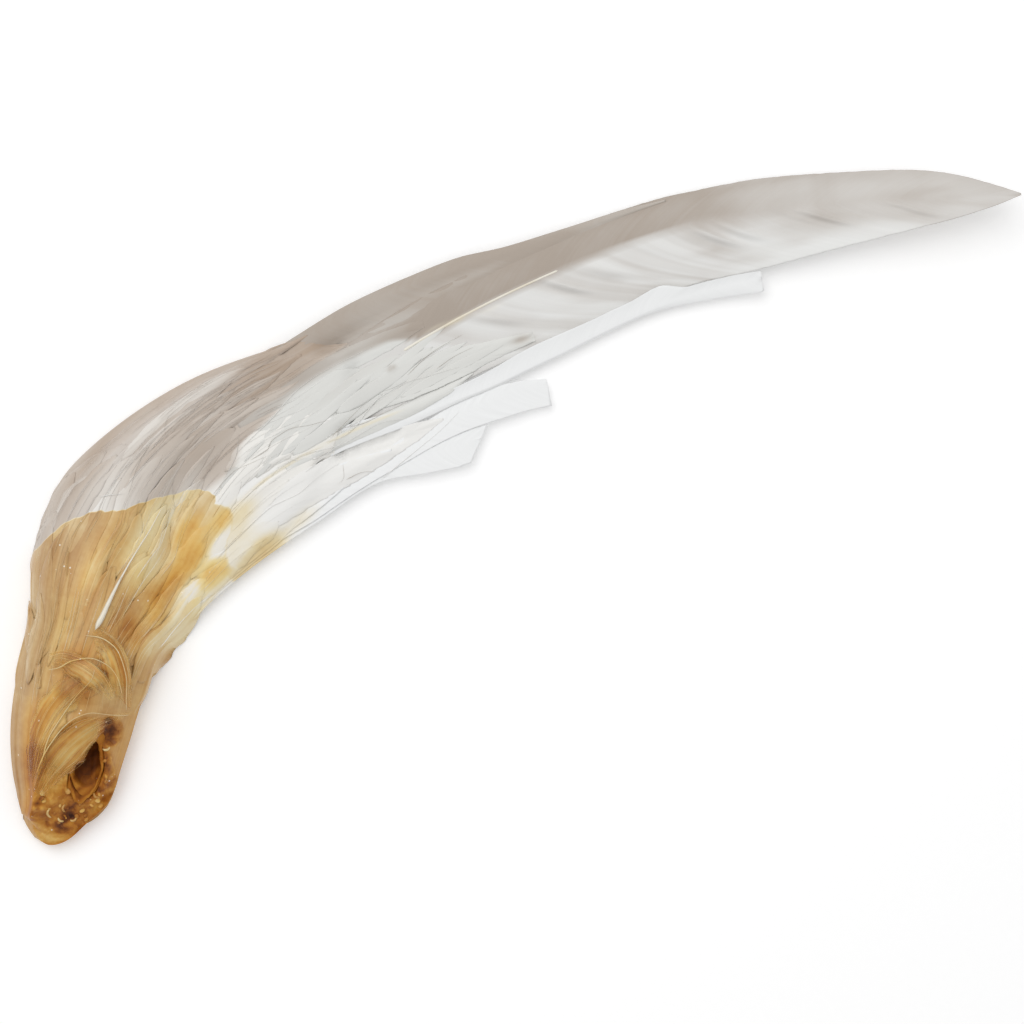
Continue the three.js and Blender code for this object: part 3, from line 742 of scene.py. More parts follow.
class Nodes:
    """A short way to add and join nodes in one tree."""

    def __init__(self, tree):
        self.tree = tree
        tree.nodes.clear()

    def add(self, kind, inputs=None, **settings):
        node = self.tree.nodes.new(kind)
        for key, value in settings.items():
            setattr(node, key, value)
        for key, value in (inputs or {}).items():
            if isinstance(value, bpy.types.NodeSocket):
                self.tree.links.new(value, node.inputs[key])
            else:
                node.inputs[key].default_value = value
        return node

    def math(self, operation, a, b=0.0, clamp=False):
        node = self.add("ShaderNodeMath", {0: a, 1: b}, operation=operation, use_clamp=clamp)
        return node.outputs[0]

    def fit(self, value, low, high, to_low=0.0, to_high=1.0):
        ends = {
            "Value": value, "From Min": low, "From Max": high, "To Min": to_low, "To Max": to_high,
        }
        return self.add("ShaderNodeMapRange", ends, interpolation_type="SMOOTHSTEP").outputs[0]

    def mix(self, share, a, b, blend="MIX"):
        node = self.add("ShaderNodeMix", {0: share, 6: a, 7: b}, data_type="RGBA", blend_type=blend)
        return node.outputs[2]

    def between(self, share, a, b):
        """The number a where share is 0 and b where it is 1."""
        return self.add("ShaderNodeMix", {0: share, 2: a, 3: b}, data_type="FLOAT").outputs[0]

    def swing(self, noise, size):
        """Noise moved to lie evenly round 0, and scaled."""
        return self.math("MULTIPLY", self.math("SUBTRACT", noise, 0.5), size)

    def mark(self, name):
        return self.add("ShaderNodeAttribute", attribute_name=name).outputs["Fac"]

    def noise(self, vector, scale, detail=3.0, rough=0.55, distortion=0.0):
        inputs = {"Vector": vector, "Scale": scale, "Detail": detail, "Roughness": rough,
                  "Distortion": distortion}
        return self.add("ShaderNodeTexNoise", inputs).outputs["Fac"]

    def here(self):
        return self.add("ShaderNodeTexCoord").outputs["Object"]

    def ramp(self, value, stops):
        node = self.add("ShaderNodeValToRGB", {0: value})
        bar = node.color_ramp
        while len(bar.elements) < len(stops):
            bar.elements.new(0.5)
        for element, (at, colour) in zip(bar.elements, stops):
            element.position = at
            element.color = colour
        return node.outputs[0]

    def bump(self, height, strength, deep_mm):
        """A normal bent by a height whose full range is so many millimetres deep."""
        inputs = {"Strength": strength, "Distance": deep_mm * MM, "Height": height}
        return self.add("ShaderNodeBump", inputs).outputs[0]

    def finish(self, inputs):
        """A material's shader and its output."""
        shader = self.add("ShaderNodeBsdfPrincipled", inputs)
        self.add("ShaderNodeOutputMaterial", {"Surface": shader.outputs[0]})


def group(name, inputs, outputs):
    """An empty node group with named sockets, and its input and output nodes."""
    tree = bpy.data.node_groups.new(name, "ShaderNodeTree")
    new_socket = tree.interface.new_socket
    for label, kind, value in inputs:
        socket = new_socket(name=label, in_out="INPUT", socket_type=f"NodeSocket{kind}")
        socket.default_value = value
    for label, kind in outputs:
        new_socket(name=label, in_out="OUTPUT", socket_type=f"NodeSocket{kind}")
    n = Nodes(tree)
    return tree, n, n.add("NodeGroupInput").outputs, n.add("NodeGroupOutput").inputs


def use(n, tree, inputs=None):
    """Place a group in a material and return its outputs."""
    return n.add("ShaderNodeGroup", inputs, node_tree=tree).outputs


print("linear mid grey:", [round(v, 3) for v in linear(128, 128, 128)])

# %% The barb streaks group
streaks, n, given, result = group(
    "barb streaks",
    [("Clumps per cm", "Float", 9.0), ("Barbs per cm", "Float", 34.0), ("Along", "Float", 0.35)],
    [("Clump", "Float"), ("Barb", "Float"), ("Height", "Float")],
)
uv = n.add("ShaderNodeUVMap", uv_map="barbs").outputs[0]
apart = n.add("ShaderNodeSeparateXYZ", {0: uv}).outputs
made = {}
NOISES = [("Clump", "Clumps per cm", 1.0, 0.0), ("Barb", "Barbs per cm", 2.3, 3.0)]
for label, rate, slower, layer in NOISES:
    across = n.math("MULTIPLY", apart[0], given[rate])
    along = n.math("MULTIPLY", n.math("MULTIPLY", apart[1], given["Along"]), slower)
    where = n.add("ShaderNodeCombineXYZ", {0: across, 1: along, 2: layer}).outputs[0]
    made[label] = n.noise(where, 1.0, 2.0, 0.6)
    n.tree.links.new(made[label], result[label])
height = n.math("ADD", made["Clump"], n.math("MULTIPLY", made["Barb"], 0.6))
n.tree.links.new(height, result["Height"])
print("group:", streaks.name)

# %% The dip line group
dip_line, n, given, result = group(
    "dip line", [("Swing", "Float", 0.0)], [("Level", "Float"), ("Golden", "Float")]
)
uneven = n.swing(n.noise(n.here(), 330.0, 3.0), 0.8)
inside = n.fit(n.math("ADD", n.mark("dip"), uneven), 0.0, 1.0)
rim = n.math("MULTIPLY", n.math("MULTIPLY", inside, n.math("SUBTRACT", 1.0, inside)), 0.16)
level = n.between(inside, n.mark("tinge"), n.math("ADD", n.mark("depth"), given["Swing"]))
n.tree.links.new(n.math("ADD", level, rim, clamp=True), result["Level"])
n.tree.links.new(n.between(inside, 0.3, n.mark("golden")), result["Golden"])
print("group:", dip_line.name)

# %% The grease stain group
TAN = [
    (0.00, linear(243, 240, 228)), (0.20, linear(234, 220, 186)), (0.35, linear(222, 200, 158)),
    (0.48, linear(205, 174, 126)), (0.58, linear(192, 155, 106)), (0.70, linear(176, 134, 84)),
    (0.80, linear(150, 104, 62)), (0.90, linear(108, 66, 34)), (1.00, linear(62, 30, 12)),
]
GOLD = [
    (0.00, linear(244, 240, 222)), (0.20, linear(240, 222, 168)), (0.35, linear(234, 206, 136)),
    (0.50, linear(226, 182, 98)), (0.60, linear(212, 157, 70)), (0.72, linear(190, 126, 42)),
    (0.82, linear(162, 96, 26)), (0.91, linear(112, 58, 14)), (1.00, linear(58, 22, 3)),
]
grease, n, given, result = group(
    "grease stain",
    [("Clean", "Color", (0.7, 0.7, 0.7, 1)), ("Stain", "Float", 0.0), ("Golden", "Float", 0.5),
     ("Patchy", "Float", 0.14)],
    [("Color", "Color"), ("Wet", "Float")],
)
patch = n.noise(n.here(), 90.0, 4.0, 0.6)
fine = n.noise(n.here(), 520.0, 2.0, 0.5)
uneven = n.math("ADD", n.math("SUBTRACT", patch, 0.5), n.swing(fine, 0.35))
level = n.math("ADD", given["Stain"], n.math("MULTIPLY", uneven, given["Patchy"]), clamp=True)
hue = n.math("ADD", given["Golden"], n.swing(n.noise(n.here(), 60.0, 3.0), 0.5), clamp=True)
amber = n.mix(hue, n.ramp(level, TAN), n.ramp(level, GOLD))
share_of_stain = n.fit(given["Stain"], 0.02, 0.26)
n.tree.links.new(n.mix(share_of_stain, given["Clean"], amber), result["Color"])
n.tree.links.new(share_of_stain, result["Wet"])
print("group:", grease.name)

# %% The crumbs and painted sparkles group
crumbs_and_sparkles, n, given, result = group(
    "crumbs_and_sparkles", [("Base", "Color", (0.7, 0.7, 0.7, 1)), ("Wet", "Float", 0.0)], [("Color", "Color")]
)
crumbs = n.add("ShaderNodeTexVoronoi", {"Vector": n.here(), "Scale": 85.0}).outputs
rare = n.fit(n.noise(n.here(), 40.0, 1.0), 0.63, 0.68)
dark = n.math("MULTIPLY", n.fit(crumbs["Distance"], 0.06, 0.03), rare)
# Painted sparkles: tiny near-white points, only where the grease is wet, standing for reflected light.
sparkle_cells = n.add("ShaderNodeTexVoronoi", {"Vector": n.here(), "Scale": 420.0}).outputs
pick = n.fit(n.noise(n.here(), 210.0, 1.0), 0.60, 0.66)
light = n.math("MULTIPLY", n.fit(sparkle_cells["Distance"], 0.17, 0.10), pick)
light = n.math("MULTIPLY", light, given["Wet"])
marked = n.mix(n.math("MULTIPLY", dark, 0.6), given["Base"], linear(112, 88, 60))
marked = n.mix(n.math("MULTIPLY", light, 0.8), marked, linear(250, 243, 226))
n.tree.links.new(marked, result["Color"])
print("group:", crumbs_and_sparkles.name)


# %% The vane material, made from the groups
def new_material(name):
    material = bpy.data.materials.new(name)
    material.use_nodes = True
    return material, Nodes(material.node_tree)


OUTER_BEIGE = (176, 164, 152)
COVERT_BEIGE = (179, 160, 142)


def vane_material(
    name, inner, rough, streak, bump_mm, clumps, barbs, along, patchy=0.12, swing=0.2,
    see_through=0.0, coat=0.2, outer=OUTER_BEIGE,
):
    """Feather vane: white inside and beige outside by the shade, streaked along the barbs, then
    stained. The stain is smoother than dry vane and shines a little. A see-through vane shows what
    is under it between its barbs, most of all at its edges."""
    material, n = new_material(name)
    lines = use(n, streaks, {"Clumps per cm": clumps, "Barbs per cm": barbs, "Along": along})
    shade = n.mark("shade")
    mottle = n.swing(n.noise(n.here(), 38.0, 4.0, 0.55, 0.4), 0.34)
    streaky = n.swing(lines["Clump"], 6.0 * streak)
    uneven = n.math("MULTIPLY", n.math("ADD", mottle, streaky), n.fit(shade, 0.02, 0.35))
    level = n.math("ADD", shade, uneven, clamp=True)
    clean = n.mix(level, linear(*inner), linear(*outer))
    both = n.math("ADD", lines["Clump"], n.math("MULTIPLY", lines["Barb"], 0.5))
    shadow = n.fit(both, 0.45, 1.05, 1 - streak, 1.0)
    grey = n.add("ShaderNodeCombineColor", {0: shadow, 1: shadow, 2: shadow}).outputs[0]
    clean = n.mix(1.0, clean, grey, "MULTIPLY")
    broad = use(n, streaks, {
        "Clumps per cm": 0.3 * clumps, "Barbs per cm": clumps, "Along": 1.6 * along,
    })
    unlike = n.math("ADD", n.swing(lines["Clump"], swing), n.swing(lines["Barb"], 0.6 * swing))
    unlike = n.math("ADD", unlike, n.swing(broad["Clump"], 1.2 * swing))
    line = use(n, dip_line, {"Swing": unlike})
    stained = use(n, grease, {
        "Clean": clean, "Stain": line["Level"], "Golden": line["Golden"], "Patchy": patchy,
    })
    marked = use(n, crumbs_and_sparkles, {"Base": stained["Color"], "Wet": stained["Wet"]})
    inputs = {
        "Base Color": marked["Color"], "Roughness": n.fit(stained["Wet"], 0.0, 1.0, rough, 0.42),
        "Normal": n.bump(lines["Height"], 0.5, bump_mm),
        "Coat Weight": n.math("MULTIPLY", stained["Wet"], coat), "Coat Roughness": 0.25,
        "Specular IOR Level": 0.35, "Sheen Weight": 0.10, "Sheen Roughness": 0.4,
    }
    if see_through:
        frayed = n.fit(n.mark("thin"), 0.35, 1.0, 0.35, 1.0)
        gaps = n.math("MULTIPLY", n.fit(both, 0.95, 0.55), frayed)
        edge = n.math("MULTIPLY", n.fit(n.mark("thin"), 0.72, 1.0), 0.6)
        clear = n.math("ADD", n.math("MULTIPLY", gaps, see_through), edge, clamp=True)
        inputs["Alpha"] = n.math("SUBTRACT", 1.0, clear, clamp=True)
    n.finish(inputs)
    return material


quill_vane = vane_material("long quill vane", (228, 228, 224), 0.62, 0.035, 0.05, 5.0, 24.0, 0.25)
# Whiter inside than the long quill vane, so that the widest quill's painted highlights can rise above
# its base tone.
silky_vane = vane_material("silky quill vane", (237, 237, 235), 0.62, 0.035, 0.05, 5.0, 24.0, 0.25)
pale_vane = vane_material("pale trailing vane", (247, 248, 248), 0.62, 0.03, 0.05, 5.0, 24.0, 0.25)
covert_vane = vane_material(
    "soft covert vane", (245, 244, 241), 0.64, 0.06, 0.10, 4.0, 15.0, 0.08, outer=COVERT_BEIGE
)
matted_vane = vane_material(
    "greasy matted feather", (245, 243, 238), 0.60, 0.06, 0.10, 3.6, 13.0, 0.08, 0.27, 0.24,
    outer=COVERT_BEIGE,
)
wispy_vane = vane_material(
    "wispy tuft", (240, 226, 196), 0.45, 0.10, 0.16, 5.0, 15.0, 0.10, 0.28, 0.70, 0.40, 0.5
)


# %% Horn for shafts, and painted gap shadows
def horn_material(name, colour, dark, stain_share):
    """A shaft or single barb: smooth horn, a little darker in patches, stained as its vane. In dark
    tones the same finish makes the painted gap shadows.
    """
    material, n = new_material(name)
    tone = n.mix(n.fit(n.noise(n.here(), 60.0), 0.35, 0.75), linear(*colour), linear(*dark))
    line = use(n, dip_line)
    stained = use(n, grease, {
        "Clean": tone, "Stain": n.math("MULTIPLY", line["Level"], stain_share),
        "Golden": line["Golden"], "Patchy": 0.1,
    })
    n.finish({
        "Base Color": stained["Color"], "Roughness": 0.42, "Coat Weight": 0.15,
        "Coat Roughness": 0.25, "Normal": n.bump(n.noise(n.here(), 900.0), 0.3, 0.08),
    })
    return material


horn = horn_material("ivory shaft", (238, 233, 220), (224, 212, 188), 0.55)
clean_horn = horn_material("clean white quill", (244, 238, 224), (236, 226, 204), 0.18)
# Dark tones for the painted gap shadows, the shade between coverts.
gap_shadow = horn_material("painted gap shadow", (186, 178, 168), (162, 152, 140), 1.1)
print("materials:", [m.name for m in bpy.data.materials])

# %% [markdown]
# ## The hand and its cut face
#
# Skin and dried flesh close round the wrist. Seen from above, the hand is a height over every
# (s, d), so it is made as rings: each ring runs over the back and returns along the flat
# underside. The slanting cut lowers the rings where it passes. A bowl round the bone, melted lumps
# of dried flesh, a rolled rim and a brown pit are then added to the height, all in one array.

# %% Lines that the cut and the bone share
BONE_FROM = np.array([9.0, -7.2, 16.2])
BONE_ALONG = np.array([50.0, 1.8, -7.0])
BONE_ALONG = BONE_ALONG / np.linalg.norm(BONE_ALONG)
BONE_RADIUS, BONE_HOLLOW = 6.1, 4.6
HOLE = (29.0, -6.8, 7.4, 5.2)  # s, d, half length and half width where the bone opens
PIT = (44.0, -14.0)


def bone_band(s, d, radius):
    """How far a point is to the side of the bone's axis, and the bone's lower and upper skin."""
    far = (s - BONE_FROM[0]) / BONE_ALONG[0]
    side = d - (BONE_FROM[1] + far * BONE_ALONG[1])
    middle = BONE_FROM[2] + far * BONE_ALONG[2]
    half = np.sqrt(np.clip(radius**2 - side**2, 0, None)) / math.cos(math.asin(-BONE_ALONG[2]))
    return side, middle - half, middle + half


def hole_rings(s, d):
    """1 on the edge of the bone's opening, more outside it."""
    return np.hypot((s - HOLE[0]) / HOLE[2], (d - HOLE[1]) / HOLE[3])


lumps = np.random.default_rng(73)
LUMP_RANGES = [(6, 50), (-19, 12), (0.9, 2.4), (-0.7, 0.9)]  # s, d, size and height
LUMPS = np.stack([lumps.uniform(low, high, 90) for low, high in LUMP_RANGES], axis=-1)


def lumpy(s, d):
    """Melted lumps and dents of dried flesh, tallest at the low end of the cut."""
    z = 0
    for at_s, at_d, size, tall in LUMPS:
        z = z + tall * spot(s, d, at_s, at_d, size, 0.8 * size)
    return z * (0.45 + 0.9 * step(24, 12, s))


def cut_face(s, d):
    """The cut plane with a swollen ring round the bone, a bowl outside that, lumps and the pit."""
    ring = hole_rings(s, d)
    z = cut_height(s, d) + lumpy(s, d) + 0.7 * bump(ring, 1.32, 0.18) - 1.1 * bump(ring, 1.95, 0.38)
    z = z + 0.18 * wobble(np.arctan2(d - HOLE[1], s - HOLE[0]) * 6, 1.0, 74) * bump(ring, 1.5, 0.5)
    pit = np.exp(-(((s - PIT[0]) / 5.0) ** 4) - ((d - PIT[1]) / 3.4) ** 4)
    return z - 3.8 * pit


def hand_height(s, d):
    """The hand's back, or the cut where that is lower, with a rolled rim and the bone's bed."""
    across = flow(s, d)[..., 0] * 10
    ridges = 0.16 * wobble(across + 1.5 * wobble(s, 25, 75), 1.6, 76)
    ridges = ridges + 0.12 * wobble(across, 4.1, 77)
    skin = hand_top(s, d) - 0.3 + ridges * step(4, 20, s)
    face = cut_face(s, d)
    over = hand_top(s, d) - cut_height(s, d)
    rim = 0.7 * bump(over, 0.4, 1.2) * step(3, 10, s) * (1 + 0.4 * wobble(s + d, 3.0, 78))
    z = -soft_max(-skin, -face, 0.5) + rim * step(56, 50, s)
    side, low, high = bone_band(s, d, BONE_RADIUS + 0.2)
    cut = cut_height(s, d)
    in_bed = (np.abs(side) < BONE_RADIUS + 0.1) & (cut + 0.8 > low) & (cut < high)
    return np.where(in_bed, np.minimum(z, low - 0.2), z)


# %% The hand's rings
BACK_POINTS, FLAT_POINTS = 150, 10
rings = np.concatenate([np.arange(-3, 56, 0.42), np.arange(56, 190.5, 1.2)])
turn = np.linspace(0, math.pi, BACK_POINTS)
corner = np.linspace(0, math.pi / 2, 7)[1:]
centre, half, wall, under = (hand(k, rings)[:, None] for k in (1, 2, 3, 5))
ROUND_OFF = [[-3, 0.5], [-1.5, 0.7], [0, 0.2], [3, -1.6], [7, -1.9], [11, -1.0], [16, 0]]
grow = smooth(ROUND_OFF, rings)[:, None]  # rounds off the leading corner of the cut end
centre, half = centre + grow / 2, half + grow / 2
under = np.maximum(under, 0.6)
back_d = centre + half * np.cos(turn)[None, :]
back_z = hand_height(rings[:, None] + 0 * back_d, back_d)
edge_out = 0.72 + 0.28 * np.cos(corner)[None, :] ** 0.6
edge_z = under + wall * (1 - np.sin(corner))[None, :]
across = np.linspace(-0.72, 0.72, FLAT_POINTS)[None, 1:-1]
ring_d = np.concatenate([back_d, centre - half * edge_out, centre + half * across,
                         centre + half * edge_out[:, ::-1]], axis=1)
ring_z = np.concatenate([back_z, edge_z, under + 0 * half * across, edge_z[:, ::-1]], axis=1)
ring_z = np.maximum(ring_z, under)
ring_s = rings[:, None] + 0 * ring_d
print("rings of the hand:", len(rings), "points each:", ring_d.shape[1])

# %% The hand's colours
FACE_SPOTS = [  # s, d, length, width, how much deeper the cut face's stain is
    [20, -4.5, 3.4, 4.5, 0.14], [35, -14.5, 7, 2.2, 0.15], [26, -14.5, 6, 2.4, 0.12],
    [26, 3, 8, 4, -0.10],
]
over = hand_top(ring_s, ring_d) - cut_height(ring_s, ring_d)
cut_mask = step(-0.9, 0.7, over) * step(58, 52, ring_s)
cut_mask = np.maximum(cut_mask, step(0.25, 0.5, spot(ring_s, ring_d, *PIT, 6.0, 4.0)))
near_bone = bump(hole_rings(ring_s, ring_d), 1.05, 0.35)
pit = spot(ring_s, ring_d, *PIT, 6.0, 4.4)
low_end = step(24, 14, ring_s)
trailing_lip = step(-12.5, -15.5, ring_d)
face_depth = (
    0.68 - 0.17 * lumpy(ring_s, ring_d) + 0.08 * low_end - 0.10 * trailing_lip + 0.08 * near_bone
    + 0.34 * pit - 0.12 * step(8, 3, ring_s) + spots(ring_s, ring_d, FACE_SPOTS)
    + 0.05 * wobble(ring_s * 1.3 + ring_d, 2.6, 79)
)
face_golden = 1.0 - 0.35 * trailing_lip - 0.1 * low_end
own = marks(ring_s, ring_d, -0.06 * step(12, -2, ring_s), 0.0, cut_mask)
own[..., 1] = own[..., 1] * (1 - cut_mask) + np.clip(face_depth, 0, 1) * cut_mask
own[..., 5] = own[..., 5] * (1 - cut_mask) + np.clip(face_golden, 0, 1) * cut_mask


def flesh_material(name, rough, coat, bump_mm, grain, blotchy=0.36, patchy=0.30):
    """Dried skin and flesh: the stain's colours, fine grain, a wet shine and a little glow."""
    material, n = new_material(name)
    coarse = n.noise(n.here(), grain, 5.0, 0.62, 0.6)
    blotch = n.noise(n.here(), 0.36 * grain, 3.0, 0.6, 1.2)
    swing = n.math("ADD", n.swing(coarse, blotchy), n.swing(blotch, blotchy))
    line = use(n, dip_line, {"Swing": swing})
    stained = use(n, grease, {
        "Clean": linear(226, 204, 164), "Stain": line["Level"], "Golden": line["Golden"],
        "Patchy": patchy,
    })
    marked = use(n, crumbs_and_sparkles, {"Base": stained["Color"], "Wet": stained["Wet"]})
    height = n.math("ADD", coarse, n.math("MULTIPLY", n.noise(n.here(), 1400.0, 2.0), 0.2))
    n.finish({
        "Base Color": marked["Color"], "Normal": n.bump(height, 0.6, bump_mm),
        "Roughness": n.fit(coarse, 0.3, 0.7, rough + 0.1, rough - 0.08),
        "Coat Weight": n.math("MULTIPLY", stained["Wet"], coat), "Coat Roughness": 0.2,
        "Specular IOR Level": 0.15, "Subsurface Weight": 0.12,
        "Subsurface Radius": (1.0, 0.5, 0.2), "Subsurface Scale": 0.002,
    })
    return material


hide = flesh_material("glossy dried flesh", 0.40, 0.16, 0.35, 380.0)
heap = Heap()
columns = ring_d.shape[1]
body = grid_faces(len(rings), columns, wrap=True)
caps = [ring_cap(columns)[:, ::-1], ring_cap(columns) + (len(rings) - 1) * columns]
quads = np.concatenate([body, *caps])
slots = (cut_mask.ravel()[quads].mean(axis=1) > 0.5).astype(int)
heap.add(place(ring_s, ring_d, ring_z), quads, flow(ring_s, ring_d), own, slots)
heap.build("hand_skin", [matted_vane, hide], ["hand"])

# %% [markdown]
# ## The hollow bone
#
# Bird bones are hollow tubes. The cut shows one as a ragged oval ring, paler at its rim and dark
# inside. It is a profile carried round an axis: out along the outside, over the rim and back down
# the inside. Each line of the profile starts where it meets the cut plane, which is one division,
# because both the line and the plane are straight.

# %% The bone
round_it = np.linspace(0, 2 * math.pi, 72, endpoint=False)
side_way = np.cross([0, 0, 1.0], BONE_ALONG)
side_way /= np.linalg.norm(side_way)
up_way = np.cross(BONE_ALONG, side_way)
spoke = np.cos(round_it)[:, None] * side_way + np.sin(round_it)[:, None] * up_way


def reach_cut(radius, proud):
    """Distance along the bone at which a line on its wall stands proud of the cut plane."""
    at = BONE_FROM + radius[:, None] * spoke
    rise = BONE_ALONG[2] - CUT_SLOPE_S * BONE_ALONG[0] - CUT_SLOPE_D * BONE_ALONG[1]
    return (cut_height(at[:, 0], at[:, 1]) + proud - at[:, 2]) / rise


chips = 0.4 * wobble(round_it * 4, 2.3, 81) + 0.22 * wobble(round_it * 4, 0.6, 82)
BONE_END = 40.0
thick_out = BONE_RADIUS - 0.25 + 0.2 * wobble(round_it * 3, 1.7, 83)
thick_in = BONE_HOLLOW + 0.35 + 0.35 * wobble(round_it * 3, 1.3, 84)
mouth = reach_cut(thick_out, -0.1 + 1.3 * chips)
INSIDE_RINGS = 22
profile = [(0 * thick_out + 1e-3, 0 * mouth + BONE_END)]
profile += [(thick_out, BONE_END + (mouth - BONE_END) * k) for k in np.linspace(0, 1, 12)]
profile += [(0.5 * (thick_out + thick_in), mouth - 0.3)]
inside = thick_in * (1 + 0.03 * wobble(round_it * 5, 0.9, 85))
down = np.linspace(0, 1, INSIDE_RINGS)
profile += [(inside, mouth + 0.1 + (BONE_END - 2 - mouth) * k) for k in down]
profile += [(0 * thick_in + 1e-3, 0 * mouth + BONE_END - 2)]
bone_points = np.stack([
    BONE_FROM + BONE_ALONG * far[:, None] + spoke * radius[:, None] for radius, far in profile
])
depth_in = np.concatenate([np.zeros(len(profile) - INSIDE_RINGS - 1), down, [1.0]])
depth_in = depth_in[:, None] + 0 * round_it[None, :]
bone_s, bone_d = bone_points[..., 0], bone_points[..., 1]
own = marks(bone_s, bone_d)
own[..., 1] = 0.78 + 0.10 * step(0.0, 0.04, depth_in) + 0.05 * step(0.05, 0.5, depth_in)
own[..., 1] = own[..., 1] + 0.05 * wobble(bone_s * 0.8 + bone_d, 2.2, 86)
own[..., 5] = 1.0
uv = np.stack([round_it[None, :] + 0 * depth_in, 3 * depth_in], axis=-1)
faces = grid_faces(len(profile), len(round_it), wrap=True)
end = ring_cap(len(round_it))
caps = [end[:, ::-1], end + (len(profile) - 1) * len(round_it)]
heap = Heap()
heap.add(place(bone_s, bone_d, bone_points[..., 2]), np.concatenate([faces, *caps]), uv, own)
bone_finish = flesh_material("stained bone", 0.62, 0.0, 0.2, 500.0, 0.06, 0.14)
heap.build("bone_wall", [bone_finish], ["cut_bone"])

# %% [markdown]
# ## Dried marrow in the bone's low end
#
# The slanting cut opens the bone along a long oval, but dried marrow fills the oval's low end and
# leaves a rounder hole. It is a thin sheet just under the cut plane that bends down into the hollow
# inside an oval.

# %% Dried marrow
MARROW_FROM, MARROW_TO = 20.2, 31.0  # along s
MARROW_HOLE = (30.2, -6.9, 7.4, 5.2)  # s, d, half length and half width of the hole it leaves
plug_s = np.linspace(MARROW_FROM, MARROW_TO, 44)[:, None]
axis_at = (plug_s - BONE_FROM[0]) / BONE_ALONG[0]
plug_half = 5.3 * np.sqrt(1 - ((MARROW_TO - plug_s) / 11.0) ** 2)
plug_d = BONE_FROM[1] + axis_at * BONE_ALONG[1] + plug_half * np.linspace(1, -1, 33)[None, :]
plug_s = plug_s + 0 * plug_d
hole_s, hole_d, half_long, half_wide = MARROW_HOLE
from_middle = np.hypot((plug_s - hole_s) / half_long, (plug_d - hole_d) / half_wide)
in_hole = step(1.05, 0.78, from_middle)
rim_z = cut_height(plug_s, plug_d) - 0.25 + 0.35 * wobble(plug_s + 0.6 * plug_d, 2.4, 88)
floor_z = BONE_FROM[2] + (plug_s - BONE_FROM[0]) / BONE_ALONG[0] * BONE_ALONG[2] - 4.3
floor_z = floor_z - 1.6 * step(25, 30.5, plug_s)
plug_z = np.maximum(rim_z + (np.minimum(floor_z, rim_z) - rim_z) * in_hole, 0.9)
own = marks(plug_s, plug_d)
own[..., 1] = 0.79 + 0.11 * in_hole + 0.08 * wobble(plug_s + plug_d, 2.0, 89) * (1 - in_hole)
own[..., 5] = 1.0
heap = Heap()
top, bottom = place(plug_s, plug_d, plug_z), place(plug_s, plug_d, plug_z - 0.4)
shell(heap, top, bottom, flow(plug_s, plug_d), own)
heap.build("dried_marrow", [bone_finish], [])

# %% [markdown]
# ## Beads and curls of dried flesh
#
# Round the bone and along the low rim, fat dried into small smooth beads and a few pale curls. The
# beads are low spheres, stretched and half sunk, and the curls are short bent rods.

# %% Beads and curls
BEAD_RINGS, BEAD_SIDES = 7, 10
lat = np.linspace(0.12, math.pi - 0.12, BEAD_RINGS)[:, None]
lon = np.linspace(0, 2 * math.pi, BEAD_SIDES, endpoint=False)[None, :]
ball_xyz = [np.sin(lat) * np.cos(lon), np.sin(lat) * np.sin(lon), np.cos(lat) + 0 * lon]
ball = np.stack(ball_xyz, axis=-1)
ball_faces = np.concatenate([
    grid_faces(BEAD_RINGS, BEAD_SIDES, wrap=True)[:, ::-1], ring_cap(BEAD_SIDES),
    ring_cap(BEAD_SIDES)[:, ::-1] + (BEAD_RINGS - 1) * BEAD_SIDES,
])


def glue_marks(shape, depth, golden):
    """The six numbers of something wholly soaked."""
    own = np.zeros((*shape, len(MARK_NAMES)))
    own[..., 0], own[..., 1], own[..., 5] = 4.0, depth, golden
    return own


def bead(heap, s, d, size, depth, make):
    """A ball of the given size, stretched at random along each axis, turned and half sunk."""
    stretch = make.uniform(0.75, 1.5, 3) * np.array([1, 1, 0.6])
    angle = make.uniform(0, math.pi)
    x = ball[..., 0] * stretch[0] * math.cos(angle) - ball[..., 1] * stretch[1] * math.sin(angle)
    y = ball[..., 0] * stretch[0] * math.sin(angle) + ball[..., 1] * stretch[1] * math.cos(angle)
    z = float(hand_height(np.array(s), np.array(d))) + 0.1 * size
    middle = place(np.array(s), np.array(d), np.array(z))
    points = middle + size * np.stack([x, y, ball[..., 2] * stretch[2]], -1)
    own = glue_marks(ball.shape[:2], depth, make.uniform(0.6, 1.0))
    heap.add(points, ball_faces, ball[..., :2], own)


heap = Heap()
make = np.random.default_rng(91)
BEADS = 46
placed = 0
while placed < BEADS:
    angle, by_bone = make.uniform(0, 2 * math.pi), make.uniform() < 0.45
    if by_bone:
        far = make.uniform(1.12, 1.4)
        s, d = HOLE[0] + far * HOLE[2] * math.cos(angle), HOLE[1] + far * HOLE[3] * math.sin(angle)
    else:
        s, d = make.uniform(9, 22), make.uniform(-12, 8)
    over = float(hand_top(np.array(s), np.array(d)) - cut_height(s, d))
    if over < 0.2 or hole_rings(s, d) < 1.1 or abs(d - hand(1, s)) > hand(2, s) - 1.2:
        continue
    bead(heap, s, d, make.uniform(0.3, 0.85), make.uniform(0.5, 0.82), make)
    placed += 1
CURLS = [  # s, d, and the way each one turns
    (12.6, 3.4, 0.3), (11.4, 0.2, 1.2), (12.4, -3.2, 2.2), (15.2, -1.0, 0.1), (40.0, -10.6, 0.6),
    (38.4, -12.8, 1.9), (21.6, -10.8, 1.0),
]
